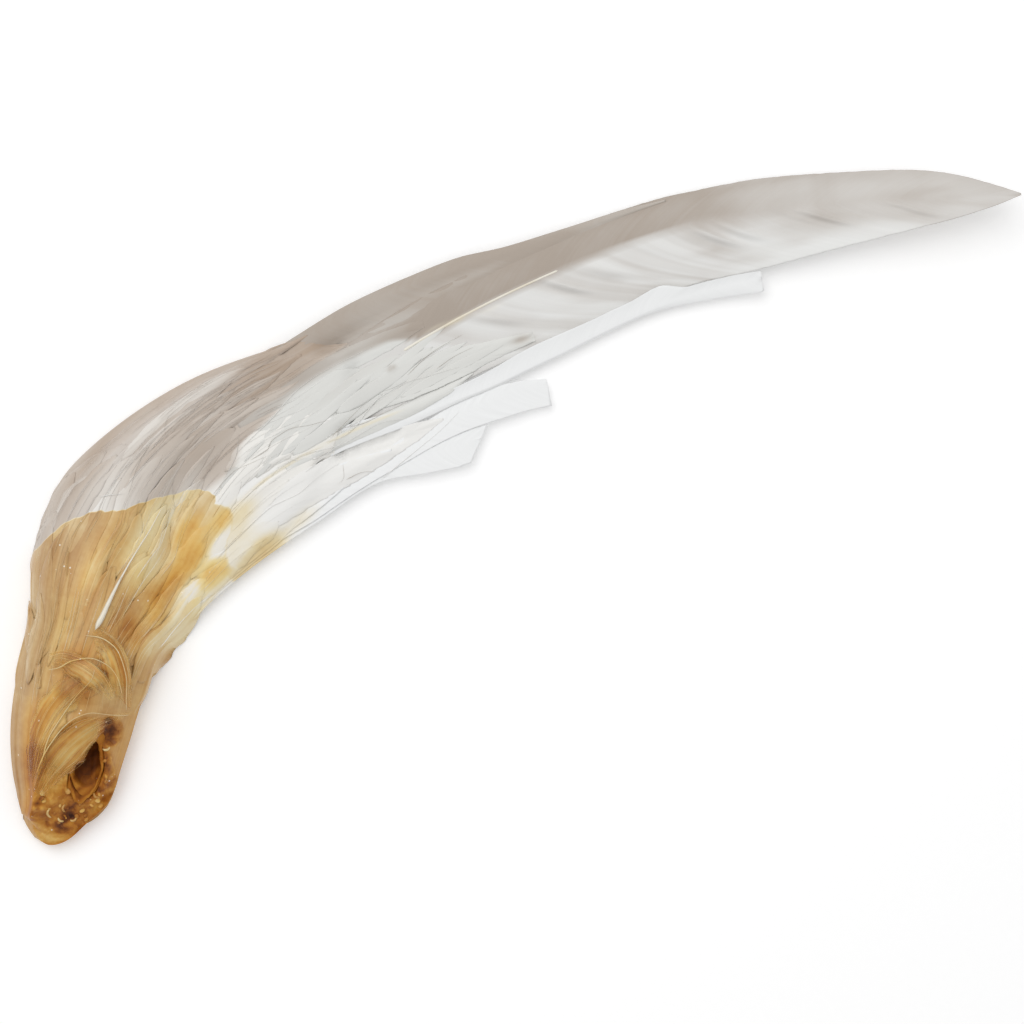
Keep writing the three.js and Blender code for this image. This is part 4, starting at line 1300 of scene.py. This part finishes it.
for at_s, at_d, way in CURLS:
    bend = np.linspace(-1.2, 1.2, 9)
    reach = make.uniform(1.1, 1.9)
    s = at_s + reach * np.sin(bend) * math.cos(way) - reach * np.cos(bend) * math.sin(way)
    d = at_d + reach * np.sin(bend) * math.sin(way) + reach * np.cos(bend) * math.cos(way)
    path = place(s, d, hand_height(s, d) + 0.15)
    own = glue_marks(s.shape, make.uniform(0.38, 0.64), 0.45)
    tube(heap, path, 0.42 * np.cos(bend * 0.9), 8, flow(s, d), own)
heap.build("dried_beads", [hide], [])

# %% [markdown]
# ## The long quills
#
# The underside of a goose's wing tip shows a stack of long quills. The widest makes the tip, one
# lies over its leading edge, and the rest peep out along the trailing side, where they were
# clipped off. Each row is s, d, then the vane's width on the leading and the trailing side.

# %% Quills
FOLDS = [  # where a fold leaves the widest quill's shaft, half its width, and its height
    (258, 3.0, 1.35), (283, 2.4, -0.6), (288, 2.0, 1.65), (303, 4.0, 1.35), (318, 3.0, -0.45),
    (333, 3.5, -0.45), (343, 2.2, 1.8), (352, 3.0, 1.5), (371, 2.2, -0.45), (380, 2.5, 1.5),
    (396, 3.0, -0.36), (410, 2.6, 1.05),
]


def silky(root, along_barb):
    """Long shallow folds in the widest vane, which run with its barbs."""
    fold = 0
    for at, half, tall in FOLDS:
        fold = fold + tall * bump(root + 94, at + 2.0 * wobble(along_barb, 9, at), half)
    return fold * step(0.5, 7, -along_barb) * step(24, 14, -along_barb)


def painted_vane_light(s, root, along_barb):
    """Painted light and shade on the widest vane: on its inner half, lighter and darker bands along
    the barbs where its folds catch or lose the light, and near its tip, lighter and darker clouds
    that are partly its mottled tone and partly painted light.
    """
    lanes = 0.14 * wobble(root + 3 * wobble(along_barb, 9, 5), 6.5, 6) + 0.08 * wobble(root, 2.3, 9)
    lanes = 0.2 + lanes * step(0.5, 5, -along_barb)
    clouds = 0.26 * wobble(root + 0.5 * along_barb, 9.0, 7)
    clouds = clouds * wobble(along_barb - 0.3 * root, 7.0, 8)
    return lanes * step(372, 345, s) + (clouds - 0.06) * step(345, 372, s)


QUILLS = {
    "primary_fifth": dict(
        lift=(-2, -2), columns=8, clipped=True, slant=0.9, ragged=0.012, seed=15,
        points=[
            [72, -19, 1, 4], [100, -28.5, 2.5, 4.6], [140, -37, 4, 4.8], [170, -41, 4.5, 4.4],
            [200, -43, 5, 2.8], [222, -44.8, 5, 6.4], [236, -46, 4.6, 7.9], [247, -47.3, 4, 7.6],
        ],
    ),
    "primary_fourth": dict(
        lift=(-1, -1), columns=7, clipped=True, ragged=0.01, seed=14,
        points=[
            [80, -15, 0.9, 0.9], [120, -32, 1.5, 2], [150, -38.5, 3, 3], [173, -41.5, 4, 3],
            [205, -42, 5, 2.5], [230, -39.3, 5, 4], [247, -36.2, 4, 7], [262, -34.8, 2.5, 9],
            [278.5, -36.5, 1.4, 8.4],
        ],
    ),
    "primary_main": dict(
        lift=(0, 0), spacing=0.7, columns=12, advance=1.7, ragged=0.012, seed=11,
        shaft=(0.75, 0.02), shaft_span=(137, 200), wave=0.2, relief=silky, painted_vane_light=painted_vane_light, clump=0.015,
        points=[
            [96, -4, 0.9, 0.9], [130, -11, 0.9, 0.9], [150, -13.5, 5, 6], [180, -13.5, 10, 12],
            [210, -11.5, 13, 17], [241, -7.3, 13, 20], [281, -1.7, 12, 22], [320, 3.3, 12.2, 21.5],
            [345, 5.2, 11.7, 21], [365, 5.2, 12, 20.4], [385, 4.5, 11.5, 17.8],
            [400, 3.5, 11.3, 15.2], [420, 2.3, 10.5, 11.5], [435, 1, 8.3, 8], [448, 0, 4, 4],
            [457, -0.6, 0.4, 0.4],
        ],
    ),
    "primary_sixth": dict(
        lift=(0, 0), columns=6, seed=16,
        points=[
            [70, -17, 0.9, 0.9], [108, -30, 3, 3.5], [149, -36.5, 4.5, 4.5], [175, -38, 4.5, 4],
            [190, -38, 2.6, 2.6], [198, -38, 0.5, 0.5],
        ],
    ),
    "primary_outer": dict(
        lift=(1, 1), columns=7, advance=1.4, ragged=0.01, seed=12, curl=(-0.2, 0), clump=0.015,
        tuck=0.3, tuck_side=-1, clear=False,
        points=[
            [172, 10, 0.9, 0.9], [186, 10.3, 2.5, 5], [200, 10.8, 2.5, 9], [225, 11.5, 3.2, 11],
            [241, 11.5, 3.4, 12], [260, 11.2, 4, 8.5], [279, 11.3, 2.2, 5], [299, 12.2, 1.7, 2.8],
            [320, 14, 1.3, 1.2], [336, 15.3, 0.4, 0.4],
        ],
    ),
    "primary_third": dict(
        lift=(1, 1), columns=7, clipped=True, ragged=0.012, seed=13, curl=(0.7, -0.6),
        clump=0.015,
        points=[
            [86, -12, 0.9, 0.9], [125, -20.5, 1.5, 1.5], [161, -22.6, 3, 4], [196, -26, 4, 4],
            [228, -30.7, 3, 2.5], [252, -31.6, 4.6, 1], [281, -28.8, 6.4, 0.9],
            [300, -25.6, 5.6, 0.9], [316, -22.5, 5.5, 1], [328, -20.3, 6.5, 1.8], [338, -19.3, 3.2, 2.8],
            [352, -18.6, 3.2, 3.8], [364, -18.2, 2.6, 4.8],
        ],
    ),
    "primary_seventh": dict(
        lift=(1, 1), columns=6, seed=17,
        points=[
            [66, -13, 0.9, 0.9], [100, -24.5, 2.5, 3.5], [135, -29.8, 3, 5], [165, -32, 2.5, 5],
            [190, -35, 2, 3.5], [212, -38, 0.5, 0.5],
        ],
    ),
}


def make_feather(name, row, surface, materials):
    """One CAD feather's visible piece."""
    heap = Heap()
    feather(heap, surface=surface, **row)
    heap.build(name + "_vane", materials, [name])


for name, row in QUILLS.items():
    vane = {"primary_main": silky_vane, "primary_outer": quill_vane}.get(name, pale_vane)
    make_feather(name, {"clear": True, **row}, quill_surface, [vane, horn])

# %% [markdown]
# ## The mat of small feathers
#
# Dozens of small feathers cover the hand and the quills' roots so closely that they read as one
# silky coat. The coat is made first, as one thin sheet: over the hand, down its leading side, and
# out to the quills on the trailing side, where it settles on them. Its ridges follow the flow.

# %% The mat
MAT_SETTLE = 7.0  # how far in from its edge the mat starts to come down
CREASES = [  # (s, d) along each crease, and its depth
    ([(125, 8.4), (129, 9.6), (134, 11.8), (139, 13.2), (143, 13.9), (148, 13.4)], 0.55),
    ([(149, 13.8), (153, 16.3), (162, 16), (171, 15)], 0.4),
    ([(104, -14), (109, -19.4), (113, -27)], 0.7),
    ([(80, -11.5), (84, -14), (91, -15), (98, -17.6)], 0.9),
    ([(79, -25), (94, -28.6), (110, -32.5)], 0.5),
]


def near_line(s, d, line):
    """The least distance from each point to a line of (s, d) points."""
    line = np.array(line, float)
    best = np.full(np.shape(s), 1e9)
    for a, b in zip(line[:-1], line[1:]):
        ab = b - a
        t = np.clip(((s - a[0]) * ab[0] + (d - a[1]) * ab[1]) / (ab @ ab), 0, 1)
        best = np.minimum(best, np.hypot(s - a[0] - t * ab[0], d - a[1] - t * ab[1]))
    return best


def mat_height(s, d):
    """The coverts' surface, settling on the quills at the mat's edges, ridged along the flow."""
    low, high = smooth(MAT_TRAILING, s), mat_leading(s)
    inset = np.minimum(np.minimum(d - low, (high - d) + 40 * step(196, 180, s)), 217 - s)
    rest = skyline.bed(s, d) + 0.05
    risen = step(0, MAT_SETTLE, inset + 60 * step(84, 78, s))
    z = rest + (covert_surface(s, d) - 0.2 - rest) * risen
    across = flow(s, d)[..., 0] * 10
    ridge = 0.08 * wobble(across + 1.5 * wobble(s, 25, 75), 1.6, 76)
    ridge = ridge + 0.15 * wobble(across + 0.02 * s, 4.1, 77)
    for line, deep in CREASES:
        z = z - deep * bump(near_line(s, d, line), 0, 0.9)
    return z + ridge * step(0, 3, inset) - 1.3 * step(57, 50, s)


mat_s = np.arange(50, 216.5, 0.75)[:, None]
low = smooth(MAT_TRAILING, mat_s) + 1.6 * step(60, 50, mat_s)
high = mat_leading(mat_s) - 1.6 * step(60, 50, mat_s)
share = np.linspace(0, 1, 100)[None, :]
top_d = low + (high - low) * share
top_z = mat_height(mat_s + 0 * top_d, top_d)
quarter = np.linspace(0, 1, 13)[None, 1:]
foot_low = 1.2 + (np.maximum(quill_surface(mat_s, low) - 1.2, 1.2) - 1.2) * step(80, 92, mat_s)
foot_high = 1.2 + (top_z[:, -1:] - 1.6) * step(185, 205, mat_s)
sink = 1 - np.cos(quarter * math.pi / 2)
fall = lambda edge_z, foot: edge_z + (np.minimum(foot, edge_z - 0.1) - edge_z) * sink
out = 0.7 * np.sin(quarter * math.pi * 0.8)
mat_d = np.concatenate([(low - out)[:, ::-1], top_d, high + out], axis=1)
low_side, high_side = fall(top_z[:, :1], foot_low)[:, ::-1], fall(top_z[:, -1:], foot_high)
mat_z = np.concatenate([low_side, top_z, high_side], axis=1)
mat_s = mat_s + 0 * mat_d
off_middle = np.abs(2 * (mat_d - low) / (high - low) - 1)
inward = np.sign((low + high) / 2 - mat_d) * 0.25 * step(0.8, 1.0, off_middle)
heap = Heap()
top, bottom = place(mat_s, mat_d, mat_z), place(mat_s, mat_d + inward, mat_z - 0.3)
shell(heap, top, bottom, flow(mat_s, mat_d), marks(mat_s, mat_d))
heap.build("small_feather_mat", [matted_vane], [])

# %% [markdown]
# ## Coverts
#
# Coverts are the shorter feathers that cover the roots of the quills. Some of their tips are
# clipped square too. They are laid one by one on the skyline, the lowest first.

# %% Coverts
marginal = {}
for i in range(5):
    stations = 71 + 22 * i + 46 * np.array([0, 0.2, 0.5, 0.8, 0.93, 1])
    widths = 0.46 * hand(2, stations) * np.array([0.12, 0.75, 1, 0.8, 0.45, 0.1])
    middle = hand(1, stations) + 0.42 * hand(2, stations)
    marginal[i] = dict(seed=41 + i, points=np.stack([stations, middle, widths, widths], axis=-1))

COVERTS = {
    "covert_greater_5": dict(seed=25, points=[
        [172, -24, 0.8, 0.8], [200, -26.6, 2.4, 2.6], [225, -28, 2.5, 2.6], [242, -27, 2, 1.8],
        [253, -24.8, 0.4, 0.4]]),
    "covert_greater_6": dict(seed=26, points=[
        [108, -23, 0.8, 0.8], [130, -27, 4, 5], [160, -31, 5, 8], [195, -34, 4.5, 8],
        [222, -35.5, 3, 4.5], [236, -36, 0.5, 0.5]]),
    "alula": dict(seed=34, points=[
        [56, 12, 0.8, 0.8], [64, 16, 2.4, 2.6], [72, 20, 2.8, 2.8], [81, 24.6, 0.6, 0.6]]),
    "covert_greater_7": dict(seed=27, points=[
        [96, -14, 0.8, 0.8], [115, -17, 4, 5], [135, -19.5, 5, 6.5], [155, -21, 3.5, 5],
        [170, -21.6, 0.5, 0.5]]),
    "covert_greater_2": dict(clipped=True, seed=22, points=[
        [168, -2, 0.8, 0.8], [185, -1.8, 2, 4], [205, -1.5, 3, 6], [228, -2, 2.5, 5],
        [243, -2.4, 1.5, 1.7]]),
    "covert_greater_4": dict(clipped=True, seed=24, curl=(0.5, 0.2), points=[
        [188, -19, 0.8, 0.8], [213, -19.4, 2.5, 4], [232, -20, 5, 5.6], [248, -20.4, 6, 5],
        [264, -20.2, 4, 3], [279, -19.8, 2, 1.7]]),
    "covert_median_3": dict(seed=33, shade=0.1, points=[
        [96, 4, 0.8, 0.8], [120, 5, 5, 5], [150, 6.5, 6, 6], [180, 7, 4.5, 5],
        [200, 6.5, 0.5, 0.5]]),
    "covert_median_2": dict(seed=32, points=[
        [84, -10, 0.8, 0.8], [100, -11.5, 4, 4.5], [125, -13, 5, 6], [145, -13.4, 4, 5],
        [160, -12.6, 0.4, 0.4]]),
    **{f"covert_marginal_{i + 1}": marginal[i] for i in (4, 3, 2, 1, 0)},
    "covert_greater_1": dict(clipped=True, seed=21, curl=(0.2, 0.1), shade=0.03, points=[
        [148, -14, 0.8, 0.8], [156, -13.7, 3, 3], [166, -13.2, 6, 7], [180, -13, 7, 9.5],
        [195, -12.2, 7.4, 10], [206, -11.7, 8, 9.5], [216, -12, 5, 6], [227, -12.6, 1.8, 2]]),
    "covert_median_1": dict(seed=31, shaft=(1.0, 0.12), points=[
        [79, -3.6, 0.8, 0.8], [97, -4.1, 1, 1], [110, -3.8, 4.5, 5.5], [130, -2, 6.5, 8.5],
        [150, 0.2, 5, 7], [164, 1.2, 2.6, 3.6], [173, 1.6, 0.4, 0.4]]),
    "covert_greater_3": dict(seed=23, curl=(0.3, 0.1), points=[
        [165, -16, 0.6, 0.6], [174, -16.3, 2.6, 2.6], [186, -17.6, 3, 3.6], [198, -19.4, 2, 2],
        [207, -20.8, 0.4, 0.4]]),
}
COVERT_LOOK = dict(
    lift=(0, 0), along_flow=True, thick=0.14, clump=0.03, above=0.02, advance=2.2, ragged=0.06,
    tuck=0.06,
)
for name, row in COVERTS.items():
    vane = quill_vane if name[:-1] == "covert_greater_" and name[-1] in "1245" else covert_vane
    make_feather(name, {**COVERT_LOOK, **row}, skyline.top, [vane, horn])

# %% [markdown]
# ## Stray ribbons and barbs on the mat
#
# A coat of feathers is never even. Grease has gathered some into limp ribbons that are a shade
# lighter or darker than the rest, and single barbs have come loose. Both follow the flow's lines.
# Ribbons near the tip go down first, so that each row's tips lie on the next row's roots.

# %% Ribbons that follow the flow
def stream(s, across):
    """The d at which the flow line with the given number of centimetres across passes each s."""
    grid = np.linspace(-60, 45, 211)
    return np.array([np.interp(across, flow(one + 0 * grid, grid)[:, 0], grid) for one in s])


TAPER = np.array([[0, 0.12], [0.12, 0.7], [0.35, 1.0], [0.65, 0.95], [0.88, 0.5], [1, 0.06]])


def tapered(s, d, wide):
    """Rows (s, d, width, width) of a path that swells and narrows as TAPER says."""
    return np.stack([s, d, wide * TAPER[:, 1], wide * TAPER[:, 1]], -1)


make = np.random.default_rng(101)
RIBBONS = 130
starts = np.sort(make.uniform(52, 176, RIBBONS))[::-1]
heap = Heap()
made = 0
for k, begin in enumerate(starts):
    across = make.uniform(-3.4, 2.9)
    s = begin + make.uniform(22, 52) * TAPER[:, 0]
    d = stream(s, across) + make.normal(0, 1.2) * TAPER[:, 0]
    inset = np.minimum(mat_leading(s) - d, d - smooth(MAT_TRAILING, s))
    if inset.min() < 1.5 or s[-1] > 212:
        continue
    wide = make.uniform(1.2, 5.5)
    depth = np.clip(make.normal(-0.02, 0.06), -0.14, 0.12)
    shade = np.clip(make.normal(-0.06, 0.16), -0.4, 0.2)
    look = dict(seed=200 + 3 * k, depth=depth, shade=shade, golden=make.normal(0, 0.15))
    ribbon(heap, tapered(s, d, wide), fold=make.uniform(0, 0.12), **look)
    made += 1
heap.build("limp_ribbons", [matted_vane], [])
print("ribbons:", made)

# %% Silky strands over the quills' roots
make = np.random.default_rng(105)
STRANDS = 24
heap = Heap()
for k in range(STRANDS):
    begin, run = make.uniform(160, 226), make.uniform(26, 46)
    s = begin + run * TAPER[:, 0]
    d = make.uniform(-23, -11) - 0.04 * (begin - 160) + make.uniform(2, 9) * TAPER[:, 0] ** 1.2
    wide = make.uniform(0.8, 2.6)
    look = dict(thick=0.03, above=0.0, tuck=0.05, crease=0.015, ragged=0.06)
    ribbon(heap, tapered(s, d, wide), seed=900 + 2 * k, shade=make.normal(0.0, 0.10), **look)
heap.build("silky_strands", [quill_vane], [])

# %% Loose barbs
make = np.random.default_rng(102)
BARBS = 420
heap = Heap()
for k in range(BARBS):
    begin, across = make.uniform(48, 190), make.uniform(-3.6, 3.2)
    s = begin + make.uniform(9, 34) * np.linspace(0, 1, 5)
    d = stream(s, across) + make.normal(0, 0.9) * np.linspace(0, 1, 5)
    inset = np.minimum(mat_leading(s) - d, d - smooth(MAT_TRAILING, s))
    if inset.min() < 0.6 or s[-1] > 214:
        continue
    radius, tone = make.uniform(0.05, 0.10), np.clip(make.normal(-0.12, 0.12), -0.4, 0.1)
    hair(heap, np.stack([s, d], -1), radius, tone=tone)
heap.build("loose_barbs", [covert_vane], [])

# %% [markdown]
# ## Tufts stuck over the cut
#
# Four small stained feathers are glued across the cut and the wrist. Each is a limp ribbon of
# barbs: a broad leaf over the bone, a ribbed one beside it, an arch round the lead side, and a fan
# that sweeps down the trailing side. Their edges are thin, so what is under them shows through.

# %% Tufts
TUFTS = {
    "tuft_leaf": dict(
        seed=61, golden=1.0, depth=-0.01, fold=0.5, barbs=24, points=[
            [20, 8.6, 2.4, 2.6], [28, 6, 4, 5.6], [36, 1.4, 5.2, 7.6], [43, -5, 4.2, 5],
            [48.6, -13, 1.5, 2.1], [51.4, -20, 0.4, 0.4]]),
    "tuft_rib": dict(
        seed=64, golden=0.6, depth=-0.10, fold=0.7, barbs=24, points=[
            [26, 10.5, 1.6, 2], [36, 9.6, 4.4, 4], [47, 6, 6.4, 5], [56, 0.6, 6, 5],
            [63, -5.4, 2.2, 2.2]]),
    "tuft_fan": dict(
        seed=67, golden=1.0, depth=-0.05, fold=0.5, barbs=24, points=[
            [80, -3, 1.8, 1.8], [78.6, -9, 1.4, 7.4], [73.5, -14.4, 1.2, 9.2], [65, -18, 0.8, 7.2],
            [53.5, -19.6, 0.4, 0.4]]),
    "tuft_arch": dict(
        seed=70, golden=0.8, depth=-0.07, fold=0.8, barbs=26, points=[
            [66, 9.4, 1.8, 1.8], [67.6, 5, 2.8, 3.8], [66.4, -1.6, 3.4, 5.4], [63, -8.6, 2.8, 4.8],
            [56.6, -14, 1, 1.2]]),
}


def tuft_bed(s, d):
    """What a tuft rests on: the pieces below it, or thin air a little above the cut."""
    return np.maximum(skyline.top(s, d), tuft_surface(s, d) - 0.4)


make = np.random.default_rng(103)
for name, row in TUFTS.items():
    heap = Heap()
    look = dict(row)
    points, barbs = np.array(look.pop("points"), float), look.pop("barbs")
    x, shaft, way, (lead, trail) = centre_line(points, 1.0)
    out = np.stack([-way[:, 1], way[:, 0]], axis=-1)
    look.update(surface=tuft_bed, spacing=0.6, columns=14, above=0.3, along_flow=False, ragged=0.2)
    ribbon(heap, points, tuck=0.0, melting=False, **look)
    for k in range(barbs):
        side = make.uniform(-1.05, 1.05)
        first, last = np.sort(make.uniform(0, 1, 2))
        if last - first < 0.25:
            first, last = max(first - 0.2, 0), min(last + 0.2, 1)
        i = (np.linspace(first, last, 7) * (len(x) - 1)).astype(int)
        width = np.where(side > 0, lead[i], trail[i]) * side * np.linspace(0.8, 1.15, 7)
        path = shaft[i] + out[i] * width[:, None]
        tone, radius = make.normal(-0.08, 0.09), make.uniform(0.05, 0.08)
        hair(heap, path, radius, slot=1, spacing=0.9, tone=tone, surface=tuft_bed, above=0.35)
    heap.build(name + "_barbs", [wispy_vane, matted_vane], [name])

# %% [markdown]
# ## Rims and shafts that catch the eye
#
# Here and there, the rim of a covert or a thin shaft shows as a pale line, and the shade in a gap
# between two coverts is painted as a dark line, a painted shadow. They are single hairs along known
# paths, from their first point on.

# %% Pale lines and painted gap shadows
PALE_LINES = [  # radius, then the (s, d) points
    (0.16, [(154, -11.7), (160.7, -9.1), (166.6, -3.7)]),
    (0.13, [(160.9, -8.8), (178.3, -6.9), (193.7, -3.3), (202.2, -2.7), (224.2, -2.7)]),
    (0.15, [(190.6, -24.2), (198.8, -25.6), (218.7, -19.6), (228.3, -19.1), (237.9, -20.2),
            (249.5, -21.3)]),
    (0.15, [(165.5, -22.1), (174.1, -22.5), (183.5, -24.2), (191.2, -26.6), (197.3, -27.9),
            (210.9, -27.7), (223.5, -30.5)]),
    (0.13, [(150.6, -22.2), (165.5, -22.1)]),
    (0.14, [(177.3, -28.9), (197.8, -27.1)]),
    (0.16, [(123.9, -28.5), (139.3, -30), (156.8, -30.7), (163.7, -32.2), (170.6, -33.4),
            (181.7, -32.7), (191.4, -32.9)]),
    (0.14, [(201.9, -45.4), (217.8, -42.7), (233, -39.3), (243.3, -35.6)]),
    (0.16, [(119.6, 16.3), (122.3, 13.3), (125.3, 9.4)]),
    (0.14, [(142.9, -16.4), (152.2, -15.2), (161.8, -14.2)]),
    (0.14, [(79.6, -25.4), (94.5, -29.1), (110.9, -33.9)]),
]
# Painted shadows: thin dark rods where shade falls in the gaps between coverts. Radius, then the (s, d)
# points.
GAP_SHADOW_LINES = [
    (0.13, [(142.5, 13.8), (139, 13.2), (133.9, 11.8), (128.7, 9.5), (125.2, 8.3)]),
    (0.10, [(148, 13.3), (153, 16.3), (162, 16), (171, 15)]),
    (0.10, [(143.8, -13.4), (155.2, -12.8), (163.4, -14.8), (170.4, -16.6)]),
    (0.11, [(163.3, -13.6), (170.8, -14.7), (174.6, -13), (181.4, -13.3), (189.4, -16.2),
            (196.8, -18.4)]),
    (0.11, [(193, -24), (206.4, -20.6), (212.8, -18.8)]),
    (0.11, [(196.5, -22.3), (210.1, -25.4), (227.2, -25.4)]),
    (0.13, [(189.2, -39), (196.2, -39.6), (201.9, -41.9)]),
    (0.10, [(192.2, -33.4), (188.3, -38.5), (185.7, -38.7)]),
    (0.10, [(230, -17), (242, -13), (255, -11)]),
    (0.10, [(241, -19), (249, -17.2), (257, -16.5)]),
]
TUFT_SHAFTS = [
    [(31.5, 7.5), (39.9, 5.8), (47.4, 2.3), (56.1, -2.2), (63.5, -6.5), (66.5, -6.7)],
    [(62.7, 9.5), (64.2, 5.8), (67.5, 1.6), (69.9, -5.2), (68.7, -10.4), (64.4, -14.9),
     (58.7, -17.1)],
    [(76.9, -0.1), (77.7, -5.6), (75.9, -11.1), (70.8, -15.2), (63.3, -17.9), (57.2, -18.5),
     (52.8, -18.9)],
    [(27.7, 9.1), (34.3, 6.9), (40.1, 3.9), (45.3, 0.4), (48.5, -3.2), (50.6, -8.6), (50.5, -15),
     (50.9, -20)],
]
heap = Heap()
for radius, points in PALE_LINES:
    hair(heap, points, radius, tone=-0.3)
# The gap shadows are painted as thin dark rods.
for radius, points in GAP_SHADOW_LINES:
    hair(heap, points, 0.65 * radius, slot=1)
BARE_QUILL = [(79.7, -3.2), (86.4, -4.1), (93.9, -4.4), (100.5, -4.5)]
BARE_SHAFT = [(94, -4.4), (106.4, -4.6), (116.5, -4.7), (129, -3.3)]
hair(heap, BARE_QUILL, 1.15, slot=2, above=0.15)
hair(heap, BARE_SHAFT, 0.4, slot=2)
for line in TUFT_SHAFTS:
    hair(heap, line, 0.24, tone=-0.25, spacing=0.8, surface=tuft_bed, above=0.1)
heap.build("rims_and_gap_shadows", [covert_vane, gap_shadow, clean_horn], [])

# %% [markdown]
# ## The wing's back
#
# Turned over, the wing tip shows the feathers of its back. They lie flat on the ground here, in
# rows that run from the wrist outwards, each row's tips over the next row's roots.

# %% Feathers of the back
def ground(s, d):
    """The floor that the wing tip lies on."""
    return 0.0 * s


for i in range(5):
    share = np.array([0, 0.15, 0.4, 0.75, 0.93, 1])
    widths = 4.5 * np.array([0.15, 0.6, 0.82, 1, 0.7, 0.2])
    s = (93 + 2 * i) + share * (83 + 7 * i)
    d = (14 - 8.6 * i) + share * (-8 - 2.8 * i)
    points = np.stack([s, d, widths, widths], axis=-1)
    look = dict(lift=(0, 0), above=0.9, seed=51 + i, shaft=(0.35, 0.12), points=points)
    make_feather(f"back_covert_{i + 1}", look, ground, [quill_vane, horn])

make = np.random.default_rng(104)
BACK_FEATHERS = 150
heap = Heap()
for k, begin in enumerate(np.sort(make.uniform(3, 150, BACK_FEATHERS))):
    across = make.uniform(-2.35, 2.5)
    s = begin + make.uniform(20, 34) * TAPER[:, 0]
    d = stream(s, across)
    wide = make.uniform(2.2, 4.2) * (0.5 + 0.5 * step(0, 30, begin))
    d = np.minimum(d, mat_leading(s) - wide * TAPER[:, 1] - 1.2)
    look = dict(seed=700 + 2 * k, thick=0.1, columns=5, wave=0.03, spacing=1.5, clump=0.01)
    look.update(shade=make.uniform(0, 0.5), depth=make.normal(0, 0.06))
    look["above"] = 0.2 + 0.34 * (k % 9) / 8
    feather(heap, tapered(s, d, wide), (0, 0), ground, **look)
heap.build("back_feathers", [quill_vane, horn], [])

# %% [markdown]
# ## Camera, floor and light
#
# The wing tip lies on a pale floor and the camera looks straight down on it, turned by 32 degrees
# so that the cut end is at the lower left and the tip at the right. One large soft light stands
# beyond the tip of the bow, and the rest is even light from all round.

# %% Camera
camera_data = bpy.data.cameras.new("camera")
camera_data.lens = 100
camera_data.sensor_width = 36
camera = bpy.data.objects.new("camera", camera_data)
bpy.context.scene.collection.objects.link(camera)
camera.location = (0.1761, -0.0035, 1.0036)
camera.rotation_euler = (0, 0, math.radians(-32))
bpy.context.scene.camera = camera

# %% Floor
floor_mesh = bpy.data.meshes.new("floor")
floor_mesh.from_pydata([(-3, -3, 0), (3, -3, 0), (3, 3, 0), (-3, 3, 0)], [], [(0, 1, 2, 3)])
floor = bpy.data.objects.new("floor", floor_mesh)
bpy.context.scene.collection.objects.link(floor)
floor.location.z = -0.0004  # just under the feathers, so that nothing flickers
paper, n = new_material("pale paper floor")
grain = n.noise(n.here(), 400.0)
n.finish({
    "Base Color": n.mix(grain, linear(250, 250, 250), linear(253, 253, 253)), "Roughness": 0.9,
    "Emission Color": (1, 1, 1, 1), "Emission Strength": 0.16,
})
floor_mesh.materials.append(paper)

# %% Light
world = bpy.data.worlds.new("studio")
bpy.context.scene.world = world
world.use_nodes = True
background = world.node_tree.nodes["Background"]
background.inputs["Color"].default_value = (1.0, 1.0, 1.0, 1.0)
background.inputs["Strength"].default_value = 0.60


def soft_box(name, location, size, power):
    """A square light that faces the middle of the wing tip."""
    lamp = bpy.data.lights.new(name, "AREA")
    lamp.size = size
    lamp.energy = power
    box = bpy.data.objects.new(name, lamp)
    bpy.context.scene.collection.objects.link(box)
    box.location = location
    target = np.array([0.17, 0.02, 0.0])
    away = np.array(location) - target
    flat = math.hypot(away[0], away[1])
    box.rotation_euler = (0, math.atan2(flat, away[2]), math.atan2(away[1], away[0]))


soft_box("key", (0.15, 0.75, 1.25), 1.4, 10)
bpy.context.scene.view_settings.view_transform = "Standard"
print("camera and light set")
